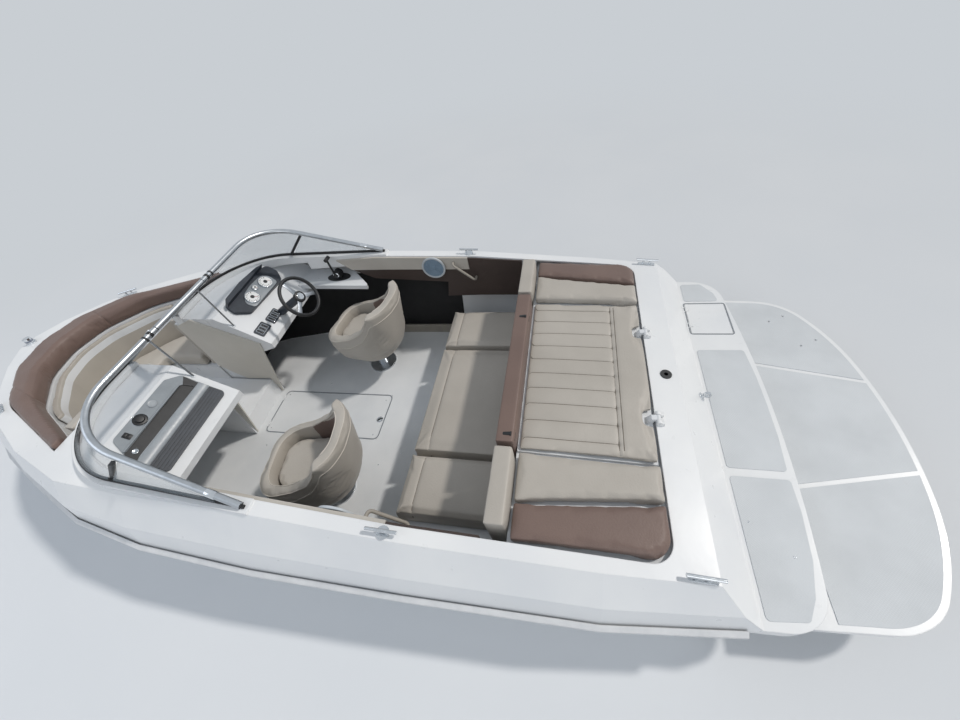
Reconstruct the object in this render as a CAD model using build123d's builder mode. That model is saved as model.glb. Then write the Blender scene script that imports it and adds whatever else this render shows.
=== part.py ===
"""An open bowrider sterndrive runabout, about 5.5 m of hull with a 0.6 m platform extension.

Millimetres. +X points to the bow, +Y to port and +Z up. The origin lies on the waterline,
on the centreline, below the aft top edge of the transom cap.
"""

from build123d import *
from math import atan2, cos, degrees, hypot, radians, sin, sqrt, tan
import os

os.makedirs("parts", exist_ok=True)

# Clearances
touch = 0.3
seam = 4.0
pin_run = 0.05

# Hull lines at each station. Columns: x, keel z, chine half-breadth, chine z,
# rub rail half-breadth, gunwale half-breadth, gunwale z
lines = (
    (-260, -362, 935, -48, 1098, 1000, 660),
    (430, -362, 968, -42, 1180, 1040, 745),
    (1300, -360, 985, -30, 1204, 1055, 843),
    (2100, -352, 975, -12, 1213, 1035, 905),
    (2800, -325, 925, 22, 1190, 1025, 903),
    (3300, -280, 840, 65, 1120, 1000, 898),
    (3800, -200, 690, 130, 958, 862, 892),
    (4200, -95, 505, 215, 812, 690, 893),
    (4480, 45, 340, 305, 660, 475, 900),
    (4680, 200, 205, 400, 500, 250, 906),
    (4790, 330, 125, 480, 370, 70, 905),
    (4870, 470, 60, 570, 235, 35, 800),
    (4925, 600, 30, 650, 110, 20, 735),
)
rail_z_at_origin = 450
rail_rise = 0.054
chine_flat = 0.94
crease_out = 0.72
crease_up = 0.52
hull_wall = 12.0
hull_seam = 0.5

# Transom
transom_keel_x = -20
transom_rail_x = -140
cap_x = 0
cap_end_x = 150
slope_foot_x = -208


def rail_z(x):
    """Height of the rub rail, which lies in one rising plane."""
    return rail_z_at_origin + rail_rise * x


def gunwale(x):
    """Half-breadth, height and slope of the gunwale."""
    for row, after in zip(lines, lines[1:]):
        if row[0] <= x <= after[0]:
            part = (x - row[0]) / (after[0] - row[0])
            half = row[5] + (after[5] - row[5]) * part
            height = row[6] + (after[6] - row[6]) * part
            return half, height, (after[6] - row[6]) / (after[0] - row[0])


def gunwale_plane(x, y):
    """Plane on the gunwale top, its normal upwards."""
    slope = gunwale(x)[2]
    return Plane(origin=(x, y, gunwale(x)[1]), x_dir=(1, 0, slope), z_dir=(-slope, 0, 1))


def inward(points, wall):
    """The closed polygon with every side moved inwards by wall."""
    moved = []
    count = len(points)
    for i in range(count):
        ax, ay = points[i - 1]
        bx, by = points[i]
        cx, cy = points[(i + 1) % count]
        ux, uy = bx - ax, by - ay
        vx, vy = cx - bx, cy - by
        lu, lv = hypot(ux, uy), hypot(vx, vy)
        px, py = bx - uy / lu * wall, by + ux / lu * wall
        qx, qy = bx - vy / lv * wall, by + vx / lv * wall
        cross = ux * vy - uy * vx
        t = ((qx - px) * vy - (qy - py) * vx) / cross
        moved.append((px + t * ux, py + t * uy))
    return moved


def body_outline(row, with_flat):
    """One full transverse section, keel to gunwale, anticlockwise looking aft."""
    x, keel, chine_y, chine_z, rail_y, gunwale_y, gunwale_z = row
    low = rail_z(x)
    crease_y = gunwale_y + crease_out * (rail_y - gunwale_y)
    crease_z = low + crease_up * (gunwale_z - low)
    flat_z = keel + (chine_z - keel) * chine_flat
    side = [(chine_y * chine_flat, flat_z)] if with_flat else []
    side += [
        (chine_y, chine_z),
        (rail_y, low),
        (crease_y, crease_z),
        (gunwale_y, gunwale_z),
    ]
    other = [(-y, z) for y, z in reversed(side)]
    return [(0, keel)] + side + other


def body_solid(wall, rows):
    """The boat's body as one solid, moved inwards by wall."""
    faces = []
    for i, row in enumerate(rows):
        before = rows[max(i - 1, 0)]
        after = rows[min(i + 1, len(rows) - 1)]
        taper = (after[4] - before[4]) / (after[0] - before[0])
        points = body_outline(row, wall == 0)
        if wall:
            points = inward(points, wall * sqrt(1 + taper * taper))
        with BuildSketch(Plane.YZ.offset(row[0])) as cut:
            with BuildLine():
                Polyline(*points, close=True)
            make_face()
        faces.append(cut.sketch)
    return loft(sections=faces, ruled=True)


def side_plane(y):
    """A plane for side-view outlines: sketch axes are the boat's x and z."""
    return Plane(origin=(0, y, 0), x_dir=(1, 0, 0), z_dir=(0, -1, 0))


def side_outline(points, y_low, y_high, mode=Mode.ADD):
    """Adds a side-view outline as a slab from y_low to y_high."""
    with BuildSketch(side_plane(y_low)) as outline:
        with BuildLine():
            Polyline(*points, close=True)
        make_face()
    return extrude(outline.sketch, amount=-(y_high - y_low), mode=mode)


def plan_outline(points, z_low, z_high, radius=0, mode=Mode.ADD):
    """Adds a plan-view outline as a slab from z_low to z_high, its corners rounded."""
    with BuildSketch(Plane.XY.offset(z_low)) as outline:
        with BuildLine():
            Polyline(*points, close=True)
        make_face()
        if radius:
            fillet(outline.vertices(), radius)
    return extrude(outline.sketch, amount=z_high - z_low, mode=mode)


def block(x0, x1, y0, y1, z0, z1, mode=Mode.ADD):
    """Adds a box between two corners."""
    with Locations(((x0 + x1) / 2, (y0 + y1) / 2, (z0 + z1) / 2)):
        return Box(abs(x1 - x0), abs(y1 - y0), abs(z1 - z0), mode=mode)


def rod(start, end, radius, mode=Mode.ADD):
    """Adds a round bar between two points."""
    start = Vector(*start)
    end = Vector(*end)
    with BuildSketch(Plane(origin=start, z_dir=end - start)) as disc:
        Circle(radius)
    return extrude(disc.sketch, amount=(end - start).length, mode=mode)


def finish(piece, name):
    """Labels a finished piece and writes it."""
    piece.part.label = name
    export_step(piece.part, f"parts/{name}.step")


def stern_line(shift):
    """Everything aft of the transom, the jog at the rail and the sloped cap."""
    jog = rail_z(transom_rail_x) + 1
    return (
        (transom_keel_x + shift, -600),
        (transom_rail_x + shift, jog),
        (slope_foot_x + shift * 1.3, jog),
        (cap_x + shift * 1.3, 700),
        (cap_x + shift * 1.3, 1500),
        (-2500, 1500),
        (-2500, -600),
    )


# Outline of the cockpit opening in the deck, port half. It follows the windscreen foot forward.
screen_corner = (3420, 948)
screen_radius = 590
screen_aft = (2020, 1010)
opening_inset = 45
walk_half = 215
bow_well_aft = 3490


def opening_outline(inset):
    """Face of the cockpit opening, moved inwards by inset."""
    front = screen_corner[0] - opening_inset - inset
    with BuildSketch() as outline:
        with BuildLine():
            path = FilletPolyline(
                (cap_end_x + inset, -500),
                (cap_end_x + inset, -972 + inset),
                (1300, -988 + inset),
                (2050, -966 + inset),
                (front, -904 + inset),
                (front, 904 - inset),
                (2050, 966 - inset),
                (1300, 988 - inset),
                (cap_end_x + inset, 972 - inset),
                (cap_end_x + inset, 500),
                radius=(100, 900, 900, 545, 545, 900, 900, 100),
            )
            Line(path @ 1, path @ 0)
        make_face()
    return outline.sketch


# Bow well outline, port half, at the bolster's outer edge
bow_outer = ((bow_well_aft, 838), (4270, 560), (4560, 270), (4635, 0))
bow_outer_radii = (420, 260, 300)
bow_inner = ((bow_well_aft, 775), (4080, 520), (4330, 250), (4395, 0))
bow_inner_radii = (420, 260, 300)


def bow_outline(half, radii, inset=0):
    """Face of the bow well inside one of its two outlines."""
    port = [(x - inset * 0.7, y - inset * 0.7 if y else 0) for x, y in half]
    port[0] = (bow_well_aft, half[0][1] - inset)
    starboard = [(x, -y) for x, y in reversed(port[:-1])]
    mirrored = tuple(reversed(radii[:-1]))
    with BuildSketch() as outline:
        with BuildLine():
            path = FilletPolyline(
                *port, *starboard, radius=radii[:-1] + (radii[-1],) + mirrored
            )
            Line(path @ 1, path @ 0)
        make_face()
    return outline.sketch


# The boat's body: outside, inside, and inside with clearance for what stands in it
outside = body_solid(0, lines)
hollow = body_solid(hull_wall, lines[:-2])
room = body_solid(hull_wall + touch, lines[:-2])

with BuildPart(mode=Mode.PRIVATE) as core:
    add(hollow)
    side_outline(stern_line(hull_wall * 1.05), -1500, 1500, mode=Mode.SUBTRACT)

with BuildPart(mode=Mode.PRIVATE) as shell:
    add(outside)
    side_outline(stern_line(0), -1500, 1500, mode=Mode.SUBTRACT)
    add(core.part, mode=Mode.SUBTRACT)

with BuildPart(mode=Mode.PRIVATE) as inside:
    add(room)
    side_outline(stern_line(hull_wall * 1.05 + touch), -1500, 1500, mode=Mode.SUBTRACT)

rail_plane = Plane(
    origin=(0, 0, rail_z_at_origin), x_dir=(1, 0, rail_rise), z_dir=(-rail_rise, 0, 1)
)

# Bearers under the engine, moulded into the hull
engine_low = -222
with BuildPart(mode=Mode.PRIVATE) as bearers:
    for y_low, y_high in ((230, 280), (-280, -230)):
        block(60, 700, y_low, y_high, -400, engine_low - touch)
    add(outside, mode=Mode.INTERSECT)

with BuildPart() as hull:
    add(shell.part)
    split(bisect_by=rail_plane.offset(-hull_seam / 2), keep=Keep.BOTTOM)
    add(bearers.part)
finish(hull, "hull")

# Foot and top rail of the windscreen, each in its own sloped plane
foot_rise = 0.045
foot_plane = Plane(
    origin=(screen_aft[0], 0, 912), x_dir=(1, 0, foot_rise), z_dir=(-foot_rise, 0, 1)
)
top_aft = (2030, 1009)
top_corner = (2890, 889)
top_radius = 330
top_rise = 0.405
top_plane = Plane(origin=(top_aft[0], 0, 928), x_dir=(1, 0, top_rise), z_dir=(-top_rise, 0, 1))
top_stretch = sqrt(1 + top_rise * top_rise)


def foot_points(y_end, out=0, start=0):
    """Windscreen foot in the foot plane, port side, moved outwards by out."""
    length = screen_corner[0] - screen_aft[0] + out
    return (
        (start, screen_aft[1] + out),
        (length, screen_corner[1] + out),
        (length, y_end),
    )


def top_points(y_end, out=0, start=0):
    """Windscreen top rail in the top plane, port side, moved outwards by out."""
    length = (top_corner[0] - top_aft[0]) * top_stretch + out
    return (
        (start, top_aft[1] + out),
        (length, top_corner[1] + out),
        (length, y_end),
    )


platform_top = 449
platform_under = 366
platform_start = (-150, 1104)
platform_aft = (-532, 930, 57)
platform_arcs = ((190, 80),)
ladder_box = (-470, -215, -850, -553)
barrel = 4.5
pin = 2.0
ladder_pin_places = (-790, -630)
ladder_x = ladder_box[1] - 1
ladder_z = platform_top + barrel + 0.5
coaming_lip = 12
lip_deep = 70
lip_span = (832, 2700)
light_socket = (60, 0)
socket_body = 21.5
lid_pins = (138, 726)
lid_pin_places = (-300, 300)
lug_half = 35
knuckle_half = 15
lid_gap = 3
lid_thick = 6

with BuildPart(mode=Mode.PRIVATE) as lip:
    with BuildSketch() as ring:
        add(opening_outline(-coaming_lip))
        add(opening_outline(0), mode=Mode.SUBTRACT)
    extrude(ring.sketch, amount=1200)
    top_edge = [(x, gunwale(x)[1] - 6) for x in (lip_span[0], 1300, 2100, lip_span[1])]
    low_edge = [(x, z - lip_deep) for x, z in reversed(top_edge)]
    side_outline(top_edge + low_edge, -1500, 1500, mode=Mode.INTERSECT)



def stern_plate(start, aft, arcs):
    """Plan outline of a platform: a wide arc aft, tighter arcs at the corners, straight sides.

    start is the side's forward end. aft is the aft edge's x on the centreline, and how far
    out and forward its wide arc ends. Arcs have a radius and a turn in degrees.
    """
    x, half, sag = aft
    radius = (half * half + sag * sag) / (2 * sag)
    middle = (x + radius - sqrt(radius * radius - half * half / 4), half / 2)
    with BuildSketch() as plate:
        with BuildLine():
            last = ThreePointArc((x, 0), middle, (x + sag, half))
            for corner, turn in arcs:
                last = JernArc(start=last @ 1, tangent=last % 1, radius=corner, arc_size=-turn)
            Polyline(last @ 1, start, (start[0], 0), (x, 0))
        make_face()
        mirror(about=Plane.XZ)
    return plate.sketch


platform_plate = stern_plate(platform_start, platform_aft, platform_arcs)
with BuildPart() as deck:
    add(shell.part)
    split(bisect_by=rail_plane.offset(hull_seam / 2), keep=Keep.TOP)
    # Plinth under the windscreen foot
    with BuildSketch(Plane.XY.offset(893)) as plinth:
        with BuildLine():
            outer = FilletPolyline(
                (2000, -1040),
                (3455, -978),
                (3455, 978),
                (2000, 1040),
                radius=(screen_radius + 35, screen_radius + 35),
            )
            Line(outer @ 1, outer @ 0)
        make_face()
    extrude(plinth.sketch, amount=200)
    split(bisect_by=foot_plane.offset(-0.5), keep=Keep.BOTTOM)
    extrude(opening_outline(0), amount=1500, mode=Mode.SUBTRACT)
    # Walk-through and bow well
    block(3300, bow_well_aft + 50, -walk_half, walk_half, 600, 1100, mode=Mode.SUBTRACT)
    extrude(bow_outline(bow_outer, bow_outer_radii), amount=1500, mode=Mode.SUBTRACT)
    # Return lip along the cockpit sides
    add(lip.part)
    # Lugs of the engine lid's hinges, and the stern light's hole
    for y in lid_pin_places:
        block(112, 146, y - lug_half, y + lug_half, 702, lid_pins[1])
        rod((lid_pins[0], y - lug_half, lid_pins[1]), (lid_pins[0], y + lug_half, lid_pins[1]), 13)
        block(100, 170, y - knuckle_half - touch, y + knuckle_half + touch, 711.5, 760, mode=Mode.SUBTRACT)
        rod(
            (lid_pins[0], y - lug_half - 1, lid_pins[1]),
            (lid_pins[0], y + lug_half + 1, lid_pins[1]),
            5 + pin_run,
            mode=Mode.SUBTRACT,
        )
    with Locations((light_socket[0], light_socket[1], gunwale(light_socket[0])[1])):
        Cylinder(socket_body + touch, 60, mode=Mode.SUBTRACT)
    # Swim platform, moulded with the deck
    with BuildSketch(Plane.XY.offset(platform_under)) as platform:
        add(platform_plate)
    extrude(platform.sketch, amount=platform_top - platform_under)
    hatch_x0, hatch_x1, hatch_y0, hatch_y1 = ladder_box
    block(hatch_x0, hatch_x1, hatch_y0, hatch_y1, platform_top - lid_thick, 700, mode=Mode.SUBTRACT)
    block(
        hatch_x0 + 18, hatch_x1 - 18, hatch_y0 + 18, hatch_y1 - 18,
        platform_under + 14, platform_top, mode=Mode.SUBTRACT,
    )
    # Fixed halves of the ladder hatch's hinges
    for y in ladder_pin_places:
        block(ladder_x, hatch_x1 + 14, y - 28, y + 28, platform_top - 1, platform_top + 2)
        for y_low in (y - 28, y + 12):
            rod((ladder_x, y_low, ladder_z), (ladder_x, y_low + 16, ladder_z), barrel)
        block(
            hatch_x0, hatch_x1 + 20, y - 12 - touch, y + 12 + touch, platform_top, platform_top + 20,
            mode=Mode.SUBTRACT,
        )
        rod((ladder_x, y - 40, ladder_z), (ladder_x, y + 40, ladder_z), pin + pin_run, mode=Mode.SUBTRACT)
finish(deck, "deck")

# Rub rail: a moulded strip over the joint, closed round the stem
rail_proud = 24
rail_half = 27
with BuildPart() as rub_rail:
    for side in (1, -1):
        faces = []
        for i, row in enumerate(lines):
            after = lines[min(i + 1, len(lines) - 1)]
            before = lines[max(i - 1, 0)]
            lean = sqrt(1 + ((after[4] - before[4]) / (after[0] - before[0])) ** 2)
            y_in = row[4] + touch * lean
            y_out = row[4] + rail_proud * lean
            z = rail_z(row[0])
            with BuildSketch(Plane.YZ.offset(row[0])) as cut:
                with BuildLine():
                    Polyline(
                        (side * y_in, z - rail_half),
                        (side * y_out, z - rail_half * 0.45),
                        (side * y_out, z + rail_half * 0.45),
                        (side * y_in, z + rail_half),
                        close=True,
                    )
                make_face()
            faces.append(cut.sketch)
        loft(sections=faces, ruled=True)
    nose = lines[-1]
    nose_half = nose[4] + rail_proud * 1.9
    block(nose[0] + touch, nose[0] + rail_proud, -nose_half, nose_half,
          rail_z(nose[0]) - rail_half * 0.45, rail_z(nose[0]) + rail_half * 0.45)
    block(nose[0] - 2, nose[0] + touch, nose[4] + 3, nose_half,
          rail_z(nose[0]) - rail_half * 0.45, rail_z(nose[0]) + rail_half * 0.45)
    block(nose[0] - 2, nose[0] + touch, -nose_half, -nose[4] - 3,
          rail_z(nose[0]) - rail_half * 0.45, rail_z(nose[0]) + rail_half * 0.45)
    block(-400, slope_foot_x + 66, -1500, 1500, 0, 1000, mode=Mode.SUBTRACT)
finish(rub_rail, "rub_rail")

# Space that interior pieces may fill: inside the body, and up through the cockpit opening
with BuildPart(mode=Mode.PRIVATE) as berth:
    add(inside.part)
    with BuildSketch(Plane.XY.offset(600)) as well:
        add(opening_outline(0.5))
    extrude(well.sketch, amount=500)

# Cockpit sole with the ski locker's hatch opening
sole_top = 80
sole_thick = 18
sole_aft = 815
sole_fwd = 3463
locker = (1985, 2985, -200, 200)
locker_pin_places = (-130, 130)
hinge_x = locker[1] - 2
hinge_z = sole_top + barrel + 0.5
with BuildPart() as cockpit_sole:
    block(sole_aft, sole_fwd, -1200, 1200, sole_top - sole_thick, sole_top)
    add(inside.part, mode=Mode.INTERSECT)
    block(*locker, 0, 200, mode=Mode.SUBTRACT)
    # Ledge that the lid rests on
    with BuildSketch(Plane.XY.offset(sole_top - sole_thick)) as ledge:
        with Locations(((locker[0] + locker[1]) / 2, 0)):
            Rectangle(locker[1] - locker[0] + 2, locker[3] - locker[2] + 2)
            Rectangle(locker[1] - locker[0] - 40, locker[3] - locker[2] - 40, mode=Mode.SUBTRACT)
    extrude(ledge.sketch, amount=sole_thick - lid_thick - 0.5)
    # Fixed halves of the lid's hinges
    for y in locker_pin_places:
        block(locker[1] - 2, locker[1] + 22, y - 28, y + 28, sole_top - 1, sole_top + 2)
        for y_low in (y - 28, y + 12):
            rod((hinge_x, y_low, hinge_z), (hinge_x, y_low + 16, hinge_z), barrel)
        block(
            locker[0], locker[1] + 30, y - 12 - touch, y + 12 + touch, sole_top, sole_top + 20,
            mode=Mode.SUBTRACT,
        )
        rod((hinge_x, y - 40, hinge_z), (hinge_x, y + 40, hinge_z), pin + pin_run, mode=Mode.SUBTRACT)
    block(locker[0], locker[1] - 1, -190, 190, sole_top - lid_thick, sole_top + 20, mode=Mode.SUBTRACT)
finish(cockpit_sole, "cockpit_sole")

# Stern moulding: the bed under the sun pads and the bulkhead behind the bench
bed_aft_z = 681
bed_rise = 0.0643
bed_thick = 10
bulkhead_x = 826


def bed_z(x):
    """Top of the sun pad bed."""
    return bed_aft_z + bed_rise * (x - cap_end_x)


engine_hatch = (172, 800, -530, 530)
with BuildPart() as stern_liner:
    side_outline(
        (
            (cap_end_x - 60, bed_z(cap_end_x - 60) - bed_thick),
            (cap_end_x - 60, bed_z(cap_end_x - 60)),
            (bulkhead_x, bed_z(bulkhead_x)),
            (bulkhead_x, sole_top + touch),
            (bulkhead_x - bed_thick, sole_top + touch),
            (bulkhead_x - bed_thick, bed_z(bulkhead_x) - bed_thick),
        ),
        -1200,
        1200,
    )
    add(inside.part, mode=Mode.INTERSECT)
    block(*engine_hatch, 600, 900, mode=Mode.SUBTRACT)
finish(stern_liner, "stern_liner")

pad_thick = 62
pad_y0 = 552
pad_gap = 7
with BuildPart() as sunpads_side:
    with BuildSketch(Plane.XY.offset(600)) as pads:
        add(opening_outline(pad_gap))
        with Locations((bulkhead_x - seam + 2000, 0)):
            Rectangle(4000, 3000, mode=Mode.SUBTRACT)
        with Locations((500, 0)):
            Rectangle(1000, 2 * pad_y0, mode=Mode.SUBTRACT)
    extrude(pads.sketch, amount=300)
    side_outline(
        (
            (0, bed_z(0) + touch),
            (0, bed_z(0) + pad_thick),
            (1000, bed_z(1000) + pad_thick),
            (1000, bed_z(1000) + touch),
        ),
        -1200,
        1200,
        mode=Mode.INTERSECT,
    )
finish(sunpads_side, "sunpads_side")

# Engine lid: it hinges on the transom cap and lifts at its forward edge
lid_half = 540
lid_aft = cap_end_x + 10
lid_fwd = bulkhead_x - seam
tray_thick = 14
with BuildPart() as engine_lid:
    side_outline(
        (
            (lid_aft, bed_z(lid_aft) + touch),
            (lid_aft, bed_z(lid_aft) + tray_thick),
            (lid_fwd, bed_z(lid_fwd) + tray_thick),
            (lid_fwd, bed_z(lid_fwd) + touch),
        ),
        -lid_half,
        lid_half,
    )
    for y in lid_pin_places:
        side_outline(
            (
                (lid_pins[0] - 4, lid_pins[1] + 9),
                (lid_aft + 12, lid_pins[1] + 6),
                (lid_aft + 40, bed_z(lid_aft) + tray_thick),
                (lid_aft, bed_z(lid_aft) + 4),
                (lid_aft, 714),
                (lid_pins[0], 715.5),
            ),
            y - knuckle_half,
            y + knuckle_half,
        )
        rod((lid_pins[0], y - knuckle_half, lid_pins[1]), (lid_pins[0], y + knuckle_half, lid_pins[1]), 11)
        rod((lid_pins[0], y - lug_half, lid_pins[1]), (lid_pins[0], y + lug_half, lid_pins[1]), 5)
finish(engine_lid, "engine_lid")

with BuildPart() as engine_lid_pad:
    side_outline(
        (
            (lid_aft, bed_z(lid_aft) + tray_thick + touch),
            (lid_aft, bed_z(lid_aft) + 52),
            (lid_fwd, bed_z(lid_fwd) + 40),
            (lid_fwd, bed_z(lid_fwd) + tray_thick + touch),
        ),
        -lid_half,
        lid_half,
    )
    for y in lid_pin_places:
        block(lid_aft - 5, lid_aft + 46, y - 46, y + 46, 600, 800, mode=Mode.SUBTRACT)
finish(engine_lid_pad, "engine_lid_pad")

# Bench: a box against the bulkhead, three seat cushions and three back cushions
bench_fwd = 1500
bench_top = 300
with BuildPart() as bench_base:
    side_outline(
        (
            (bulkhead_x + touch, bench_top - 12),
            (bulkhead_x + touch, bench_top),
            (bench_fwd, bench_top),
            (bench_fwd, bench_top - 30),
            (bench_fwd - 60, sole_top + touch),
            (bench_fwd - 72, sole_top + touch),
            (bench_fwd - 12, bench_top - 12),
        ),
        -945,
        945,
    )
    add(inside.part, mode=Mode.INTERSECT)
finish(bench_base, "bench_base")

back_aft = bulkhead_x + touch
back_fwd = 925
cushion_top = 425
with BuildPart() as bench_cushions:
    for y_low, y_high in ((-434, 434), (438, 822), (-850, -438)):
        block(back_aft + 8, 1530, y_low, y_high, bench_top + touch, cushion_top)
finish(bench_cushions, "bench_cushions")

with BuildPart() as bench_backrests:
    for y_low, y_high in ((556, 940), (-552, 552), (-940, -556)):
        block(back_aft, back_fwd, y_low, y_high, cushion_top + seam, 850)
finish(bench_backrests, "bench_backrests")

# Side panels below the coaming, a padded strip above them and a lip in front of the side store
panel_thick_side = 14
strip_thick = 18
with BuildPart() as side_panels:
    with BuildSketch() as ring:
        add(opening_outline(touch))
        add(opening_outline(panel_thick_side), mode=Mode.SUBTRACT)
    extrude(ring.sketch, amount=1200)
    side_outline(
        (
            (938, 470),
            (938, 792),
            (1350, 836),
            (1350, 738),
            (2330, 800),
            (2161, 700),
            (1549, 626),
            (1582, 480),
        ),
        -1200,
        1200,
        mode=Mode.INTERSECT,
    )
finish(side_panels, "side_panels")

with BuildPart() as side_pads:
    with BuildSketch() as ring:
        add(opening_outline(touch))
        add(opening_outline(strip_thick), mode=Mode.SUBTRACT)
    extrude(ring.sketch, amount=1200)
    side_outline(
        (
            (1350 + touch, 738 + touch),
            (1350 + touch, 840),
            (2100, 898),
            (2430, 898),
            (2330, 800 + touch),
        ),
        -1200,
        1200,
        mode=Mode.INTERSECT,
    )
finish(side_pads, "side_pads")

with BuildPart() as store_lips:
    for y_low, y_high in ((930, 944), (-944, -930)):
        block(bench_fwd + touch, 2180, y_low, y_high, sole_top + touch, sole_top + 90)
finish(store_lips, "store_lips")

# Round speakers and grab handles on both sides. Columns: x, z, radius
speaker = (1631, 777, 95)
speaker_face = 947
with BuildPart() as speakers:
    for side in (1, -1):
        low = min(side * speaker_face, side * (speaker_face + 10))
        rod((speaker[0], low, speaker[1]), (speaker[0], low + 10, speaker[1]), speaker[2])
        inner = side * (speaker_face - 3)
        rod(
            (speaker[0], min(inner, inner + side * 8), speaker[1]),
            (speaker[0], max(inner, inner + side * 8), speaker[1]),
            speaker[2] * 0.5,
        )
finish(speakers, "speakers")

handle_out = 926
handle_radius = 9
with BuildPart() as grab_handles:
    for side in (1, -1):
        with BuildLine() as bar:
            FilletPolyline(
                (1465, side * 964.2, 812),
                (1465, side * handle_out, 812),
                (1307, side * handle_out, 664),
                (1307, side * 973, 664),
                radius=24,
            )
        with BuildSketch(Plane(origin=bar.line @ 0, z_dir=bar.line % 0)) as round_bar:
            Circle(handle_radius)
        sweep(round_bar.sketch, path=bar.line)
finish(grab_handles, "grab_handles")

# Consoles: a dash slope over a leg recess, closed forward by the bow well's bulkhead
dash_low = (2765, 682)
dash_high = (3096, 940)
dash_lean = atan2(dash_high[1] - dash_low[1], dash_high[0] - dash_low[0])
console_fwd = 3478
console_wall = 14
console_outline = (
    (dash_low[0], dash_low[1] - 44),
    dash_low,
    dash_high,
    (3370, 944),
    (3370, 882),
    (console_fwd, 882),
    (console_fwd, sole_top + touch),
    (3045, sole_top + touch),
    (2990, 560),
)
legroom_outline = (
    (2600, 20),
    (2600, 620),
    (dash_low[0] + console_wall, 620),
    (dash_low[0] + console_wall, dash_low[1] - 6),
    (dash_high[0] + 4, dash_high[1] - console_wall),
    (3370 - console_wall, 944 - console_wall),
    (3370 - console_wall, 882 - console_wall),
    (console_fwd - console_wall, 882 - console_wall),
    (console_fwd - console_wall, 20),
)


def dash_plane(up):
    """Plane above the dash slope: sketch x runs up the slope and y to port."""
    return Plane(
        origin=(dash_low[0] - up * sin(dash_lean), 0, dash_low[1] + up * cos(dash_lean)),
        x_dir=(cos(dash_lean), 0, sin(dash_lean)),
        z_dir=(-sin(dash_lean), 0, cos(dash_lean)),
    )


def dash_slab(points, up, thick, radius=0, mode=Mode.ADD):
    """Adds a slab on the dash slope from an outline of (up the slope, to port) points."""
    with BuildSketch(dash_plane(up)) as outline:
        with BuildLine():
            Polyline(*points, close=True)
        make_face()
        if radius:
            fillet(outline.vertices(), radius)
    return extrude(outline.sketch, amount=thick, mode=mode)


with BuildPart(mode=Mode.PRIVATE) as console_solid:
    side_outline(console_outline, -1100, 1100)

panel_thick = 10
with BuildPart() as console_port:
    side_outline(console_outline, walk_half + touch, 1100)
    side_outline(legroom_outline, walk_half + console_wall, 1200, mode=Mode.SUBTRACT)
    add(berth.part, mode=Mode.INTERSECT)
finish(console_port, "console_port")

shelf_low = 702
shelf_top = 738
shelf_outline = ((2764, -838), (2175, -806), (2185, -835), (2330, -975), (2400, -1060), (2764, -1060))
with BuildPart() as console_starboard:
    side_outline(console_outline, -1100, -walk_half - touch)
    side_outline(legroom_outline, -1200, -walk_half - console_wall, mode=Mode.SUBTRACT)
    plan_outline(((2860, -1060), (2860, -838)) + shelf_outline[1:], shelf_low, shelf_top)
    add(berth.part, mode=Mode.INTERSECT)
finish(console_starboard, "console_starboard")

with BuildPart() as walkway_panels:
    for y_low in (walk_half - panel_thick, -walk_half):
        side_outline(
            (
                (2860, 690),
                (3300, 945),
                (3470, 880),
                (3470, 410),
                (3300, 250),
                (3060, sole_top + 180),
                (3052, sole_top + touch),
                (3046, sole_top + touch),
            ),
            y_low,
            y_low + panel_thick,
        )
finish(walkway_panels, "walkway_panels")

# Bow: sole and seat bed in one moulding, the coaming wall, cushions and bolster
bow_sole = 240
bow_seat = 400
foot_half = walk_half - panel_thick - touch
foot_fwd = 3990
with BuildPart() as bow_liner:
    block(3480, 4700, -1200, 1200, bow_sole - 14, bow_seat)
    add(inside.part, mode=Mode.INTERSECT)
    block(3400, foot_fwd, -foot_half, foot_half, bow_sole, 700, mode=Mode.SUBTRACT)
    block(3056, 3480, -foot_half, foot_half, bow_sole - 14, bow_sole)
    block(3056, 3068, -foot_half, foot_half, sole_top + touch, bow_sole)
finish(bow_liner, "bow_liner")

coaming_top = 800
with BuildPart() as bow_coaming:
    with BuildSketch(Plane.XY.offset(bow_seat + touch)) as ring:
        add(bow_outline(bow_outer, bow_outer_radii, 2))
        add(bow_outline(bow_inner, bow_inner_radii), mode=Mode.SUBTRACT)
    extrude(ring.sketch, amount=coaming_top - bow_seat - touch)
    add(inside.part, mode=Mode.INTERSECT)
finish(bow_coaming, "bow_coaming")

bolster_top = 930
with BuildPart() as bow_bolster:
    with BuildSketch(Plane.XY.offset(coaming_top + touch)) as ring:
        add(bow_outline(bow_outer, bow_outer_radii, 4))
        add(bow_outline(bow_inner, bow_inner_radii), mode=Mode.SUBTRACT)
    extrude(ring.sketch, amount=bolster_top - coaming_top - touch)
finish(bow_bolster, "bow_bolster")

bow_cushion_top = 500
back_thick = 48
with BuildPart() as bow_seat_cushions:
    with BuildSketch(Plane.XY.offset(bow_seat + touch)) as seat:
        add(bow_outline(bow_inner, bow_inner_radii, back_thick + 4))
        with Locations((3500, 0)):
            Rectangle(180, 1800, mode=Mode.SUBTRACT)
        with Locations((3700, 0)):
            Rectangle(2 * (foot_fwd - 3700), 2 * foot_half + 10, mode=Mode.SUBTRACT)
        with Locations((4200, 0)):
            Rectangle(600, 4, mode=Mode.SUBTRACT)
    extrude(seat.sketch, amount=bow_cushion_top - bow_seat - touch)
finish(bow_seat_cushions, "bow_seat_cushions")

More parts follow.
